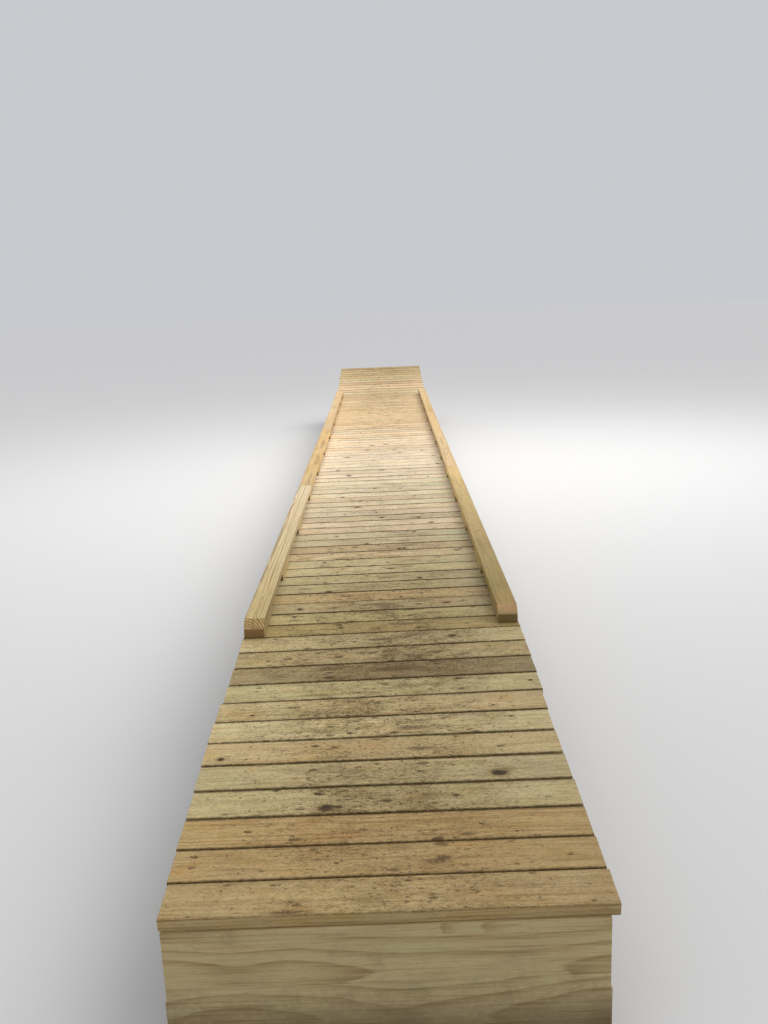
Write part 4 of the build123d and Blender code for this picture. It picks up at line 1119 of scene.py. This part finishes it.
for k, (name, side, s0, s1, slant, info) in enumerate(RAILS):
    rng = random.Random(70 + k)
    info = dict(info)
    info["seed"] = (rng.uniform(-40, 40), rng.uniform(-40, 40), rng.uniform(-40, 40))
    board(name + "_timber", s1 - s0, RAIL_W, RAIL_T, rng, info, stations=60, arris=0.0035,
          bend=rail_bend((s0 + s1) / 2, side * RAIL_X, BLOCK_T + RAIL_T / 2),
          slant=slant, mats=(RAIL,), stands_for=(name,))

for side, starts, label in ((-1, LEFT_STARTS, "left"), (1, RIGHT_STARTS, "right")):
    for k, s0 in enumerate(starts):
        rng = random.Random(500 + k + (40 if side > 0 else 0))
        node = "%s_curb_blocks_%d" % (label, 1 if k < 6 else 2)
        dark = 0.0
        if k == 0:
            dark = 0.30 if side < 0 else 0.35
        info = dict(
            tone=(rng.uniform(-0.1, 0.12), rng.uniform(-0.05, 0.15), dark),
            pith=(rng.uniform(-0.06, 0.06), -rng.uniform(0.04, 0.09), rng.uniform(0.008, 0.012)),
            care=(0.6, 1.0, 0.7), roam=0.4, wash=(0.86, 0.83, 0.74) if k == 0 else (1.02, 0.97, 0.90),
            end=(lin(164, 129, 84) if side < 0 else lin(136, 120, 76))[:3] + (0.22,) if k == 0
            else lin(128, 100, 66)[:3] + (0.35,),
            seed=(rng.uniform(-40, 40), rng.uniform(-40, 40), rng.uniform(-40, 40)))
        board("%s_curb_block_%02d" % (label, k + 1), BLOCK_LEN, RAIL_W, BLOCK_T, rng, info,
              stations=8, arris=0.0030, bend=rail_bend(s0 + BLOCK_LEN / 2, side * RAIL_X, BLOCK_T / 2),
              mats=(RAIL,), stands_for=(node,))

# ---------------------------------------------------------------------------
# the frame under the deck keeps its CAD shapes: eased arrises and timber
# ---------------------------------------------------------------------------
STRINGERS = make_timber_material("stringer_timber", "Y", (0.04, 60.0, 30.0), 0.6,
                                 (0.0, 0.05, 0.10), 0.0085, 0.010, -0.060)
TIMBER_X = make_timber_material("cross_timber", "X", (60.0, 0.90, 0.1403), 0.9,
                                (-0.06, 0.16, 0.16), 0.0110, 0.008, 0.012)
SLEEPERS = make_timber_material("sleeper_timber", "Y", (0.40, 2.0, 30.0), 1.0,
                                (-0.05, 0.14, 0.22), 0.0110, 0.010, -0.010)
BLOCKING = make_timber_material("blocking_timber", "X", (0.43, 1.0, 30.0), 0.5,
                                (0.03, 0.05, 0.08), 0.0085, 0.030, -0.090)

NEAR_END = make_timber_material("near_end_timber", "X", (60.0, 0.90, 0.1403), 0.9,
                                (0.02, 0.04, 0.06), 0.0095, 0.008, -0.050, mud=0.42, mud_top=0.22)
FAR_END = make_timber_material("far_end_timber", "X", (60.0, 0.90, 0.1403), 0.9,
                               (0.00, 0.06, 0.08), 0.0095, 0.008, -0.050, mud=0.42, mud_top=0.34)

for name, ob in sorted(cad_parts.items()):
    if ob.hide_render:
        continue
    if name.endswith("_stringers"):
        mt = STRINGERS
    elif name.endswith("_sleepers"):
        mt = SLEEPERS
    elif name.endswith("_blocking"):
        mt = BLOCKING
    elif name in ("near_header", "near_abutment_timber", "near_abutment_plate"):
        mt = NEAR_END
    elif name.startswith("far_header") or name.startswith("far_abutment"):
        mt = FAR_END
    else:
        mt = TIMBER_X
    if not ob.material_slots:
        ob.data.materials.append(None)
    for sl in ob.material_slots:
        sl.link = "OBJECT"
        sl.material = mt
    weld = ob.modifiers.new("weld", "WELD")
    weld.merge_threshold = 0.0001
    bev = ob.modifiers.new("arris", "BEVEL")
    bev.width = 0.004 if "cap" in name or "timber" in name or "sleepers" in name else 0.0025
    bev.segments = 2
    bev.limit_method = "ANGLE"
    bev.angle_limit = math.radians(40)
    wn = ob.modifiers.new("weighted", "WEIGHTED_NORMAL")
    wn.keep_sharp = True

# ---------------------------------------------------------------------------
# floor, light and camera
# ---------------------------------------------------------------------------
fme = bpy.data.meshes.new("floor")
N = 96
fv = [(0, 0, -0.0005)] + [(70 * math.cos(2 * math.pi * k / N), 70 * math.sin(2 * math.pi * k / N), -0.0005) for k in range(N)]
fme.from_pydata(fv, [], [(0, k + 1, (k + 1) % N + 1) for k in range(N)])
floor = bpy.data.objects.new("floor", fme)
bpy.context.scene.collection.objects.link(floor)
fmat, ft, fb = new_material("floor_paint")
fb.inputs["Roughness"].default_value = 0.85
fb.inputs["Base Color"].default_value = (0.70, 0.695, 0.685, 1.0)
fme.materials.append(fmat)

world = bpy.context.scene.world or bpy.data.worlds.new("world")
bpy.context.scene.world = world
world.use_nodes = True
wt = world.node_tree
for n in list(wt.nodes):
    wt.nodes.remove(n)
bg = wt.nodes.new("ShaderNodeBackground")
wo = wt.nodes.new("ShaderNodeOutputWorld")
bg.inputs["Color"].default_value = (0.93, 0.95, 1.0, 1.0)
bg.inputs["Strength"].default_value = 0.62
wt.links.new(bg.outputs[0], wo.inputs[0])


def area(name, at, aim, size_x, size_y, power, colour=(1, 1, 1)):
    ld = bpy.data.lights.new(name, "AREA")
    ld.shape = "RECTANGLE"
    ld.size, ld.size_y = size_x, size_y
    ld.energy = power
    ld.color = colour
    ob = bpy.data.objects.new(name, ld)
    bpy.context.scene.collection.objects.link(ob)
    ob.location = at
    d = Vector(aim) - Vector(at)
    ob.rotation_mode = "QUATERNION"
    ob.rotation_quaternion = d.to_track_quat("-Z", "Y")
    return ob


area("soft_top", (1.1, 1.8, 5.8), (0, 1.6, 0.4), 3.6, 8.0, 275, (1.0, 0.985, 0.96))
soft = bpy.data.lights.new("soft_right", "SUN")
soft.energy = 1.05
soft.angle = math.radians(46)
soft.color = (1.0, 0.985, 0.96)
soft_ob = bpy.data.objects.new("soft_right", soft)
bpy.context.scene.collection.objects.link(soft_ob)
soft_ob.location = (6.0, 3.0, 8.0)
soft_ob.rotation_mode = "QUATERNION"
soft_ob.rotation_quaternion = Vector((-0.62, -0.22, -0.75)).to_track_quat("-Z", "Y")

cam_data = bpy.data.cameras.new("camera")
cam = bpy.data.objects.new("camera", cam_data)
bpy.context.scene.collection.objects.link(cam)
bpy.context.scene.camera = cam
cam_data.sensor_width = 36.0
cam_data.lens = 939.07 / 1024.0 * 36.0
cam_data.clip_start, cam_data.clip_end = 0.05, 300.0
th, ro, ya = 0.2343, -0.04, -0.0057
F = Vector((math.sin(ya) * math.cos(th), math.cos(ya) * math.cos(th), -math.sin(th)))
R = Vector((math.cos(ya), -math.sin(ya), 0.0))
U = R.cross(F)
R2 = R * math.cos(ro) + U * math.sin(ro)
U2 = -R * math.sin(ro) + U * math.cos(ro)
cm = Matrix.Identity(4)
for r in range(3):
    cm[r][0], cm[r][1], cm[r][2] = R2[r], U2[r], -F[r]
cm[0][3], cm[1][3], cm[2][3] = 0.0515, -8.4914, 2.0245
cam.matrix_world = cm

bpy.context.scene.view_settings.view_transform = "Standard"
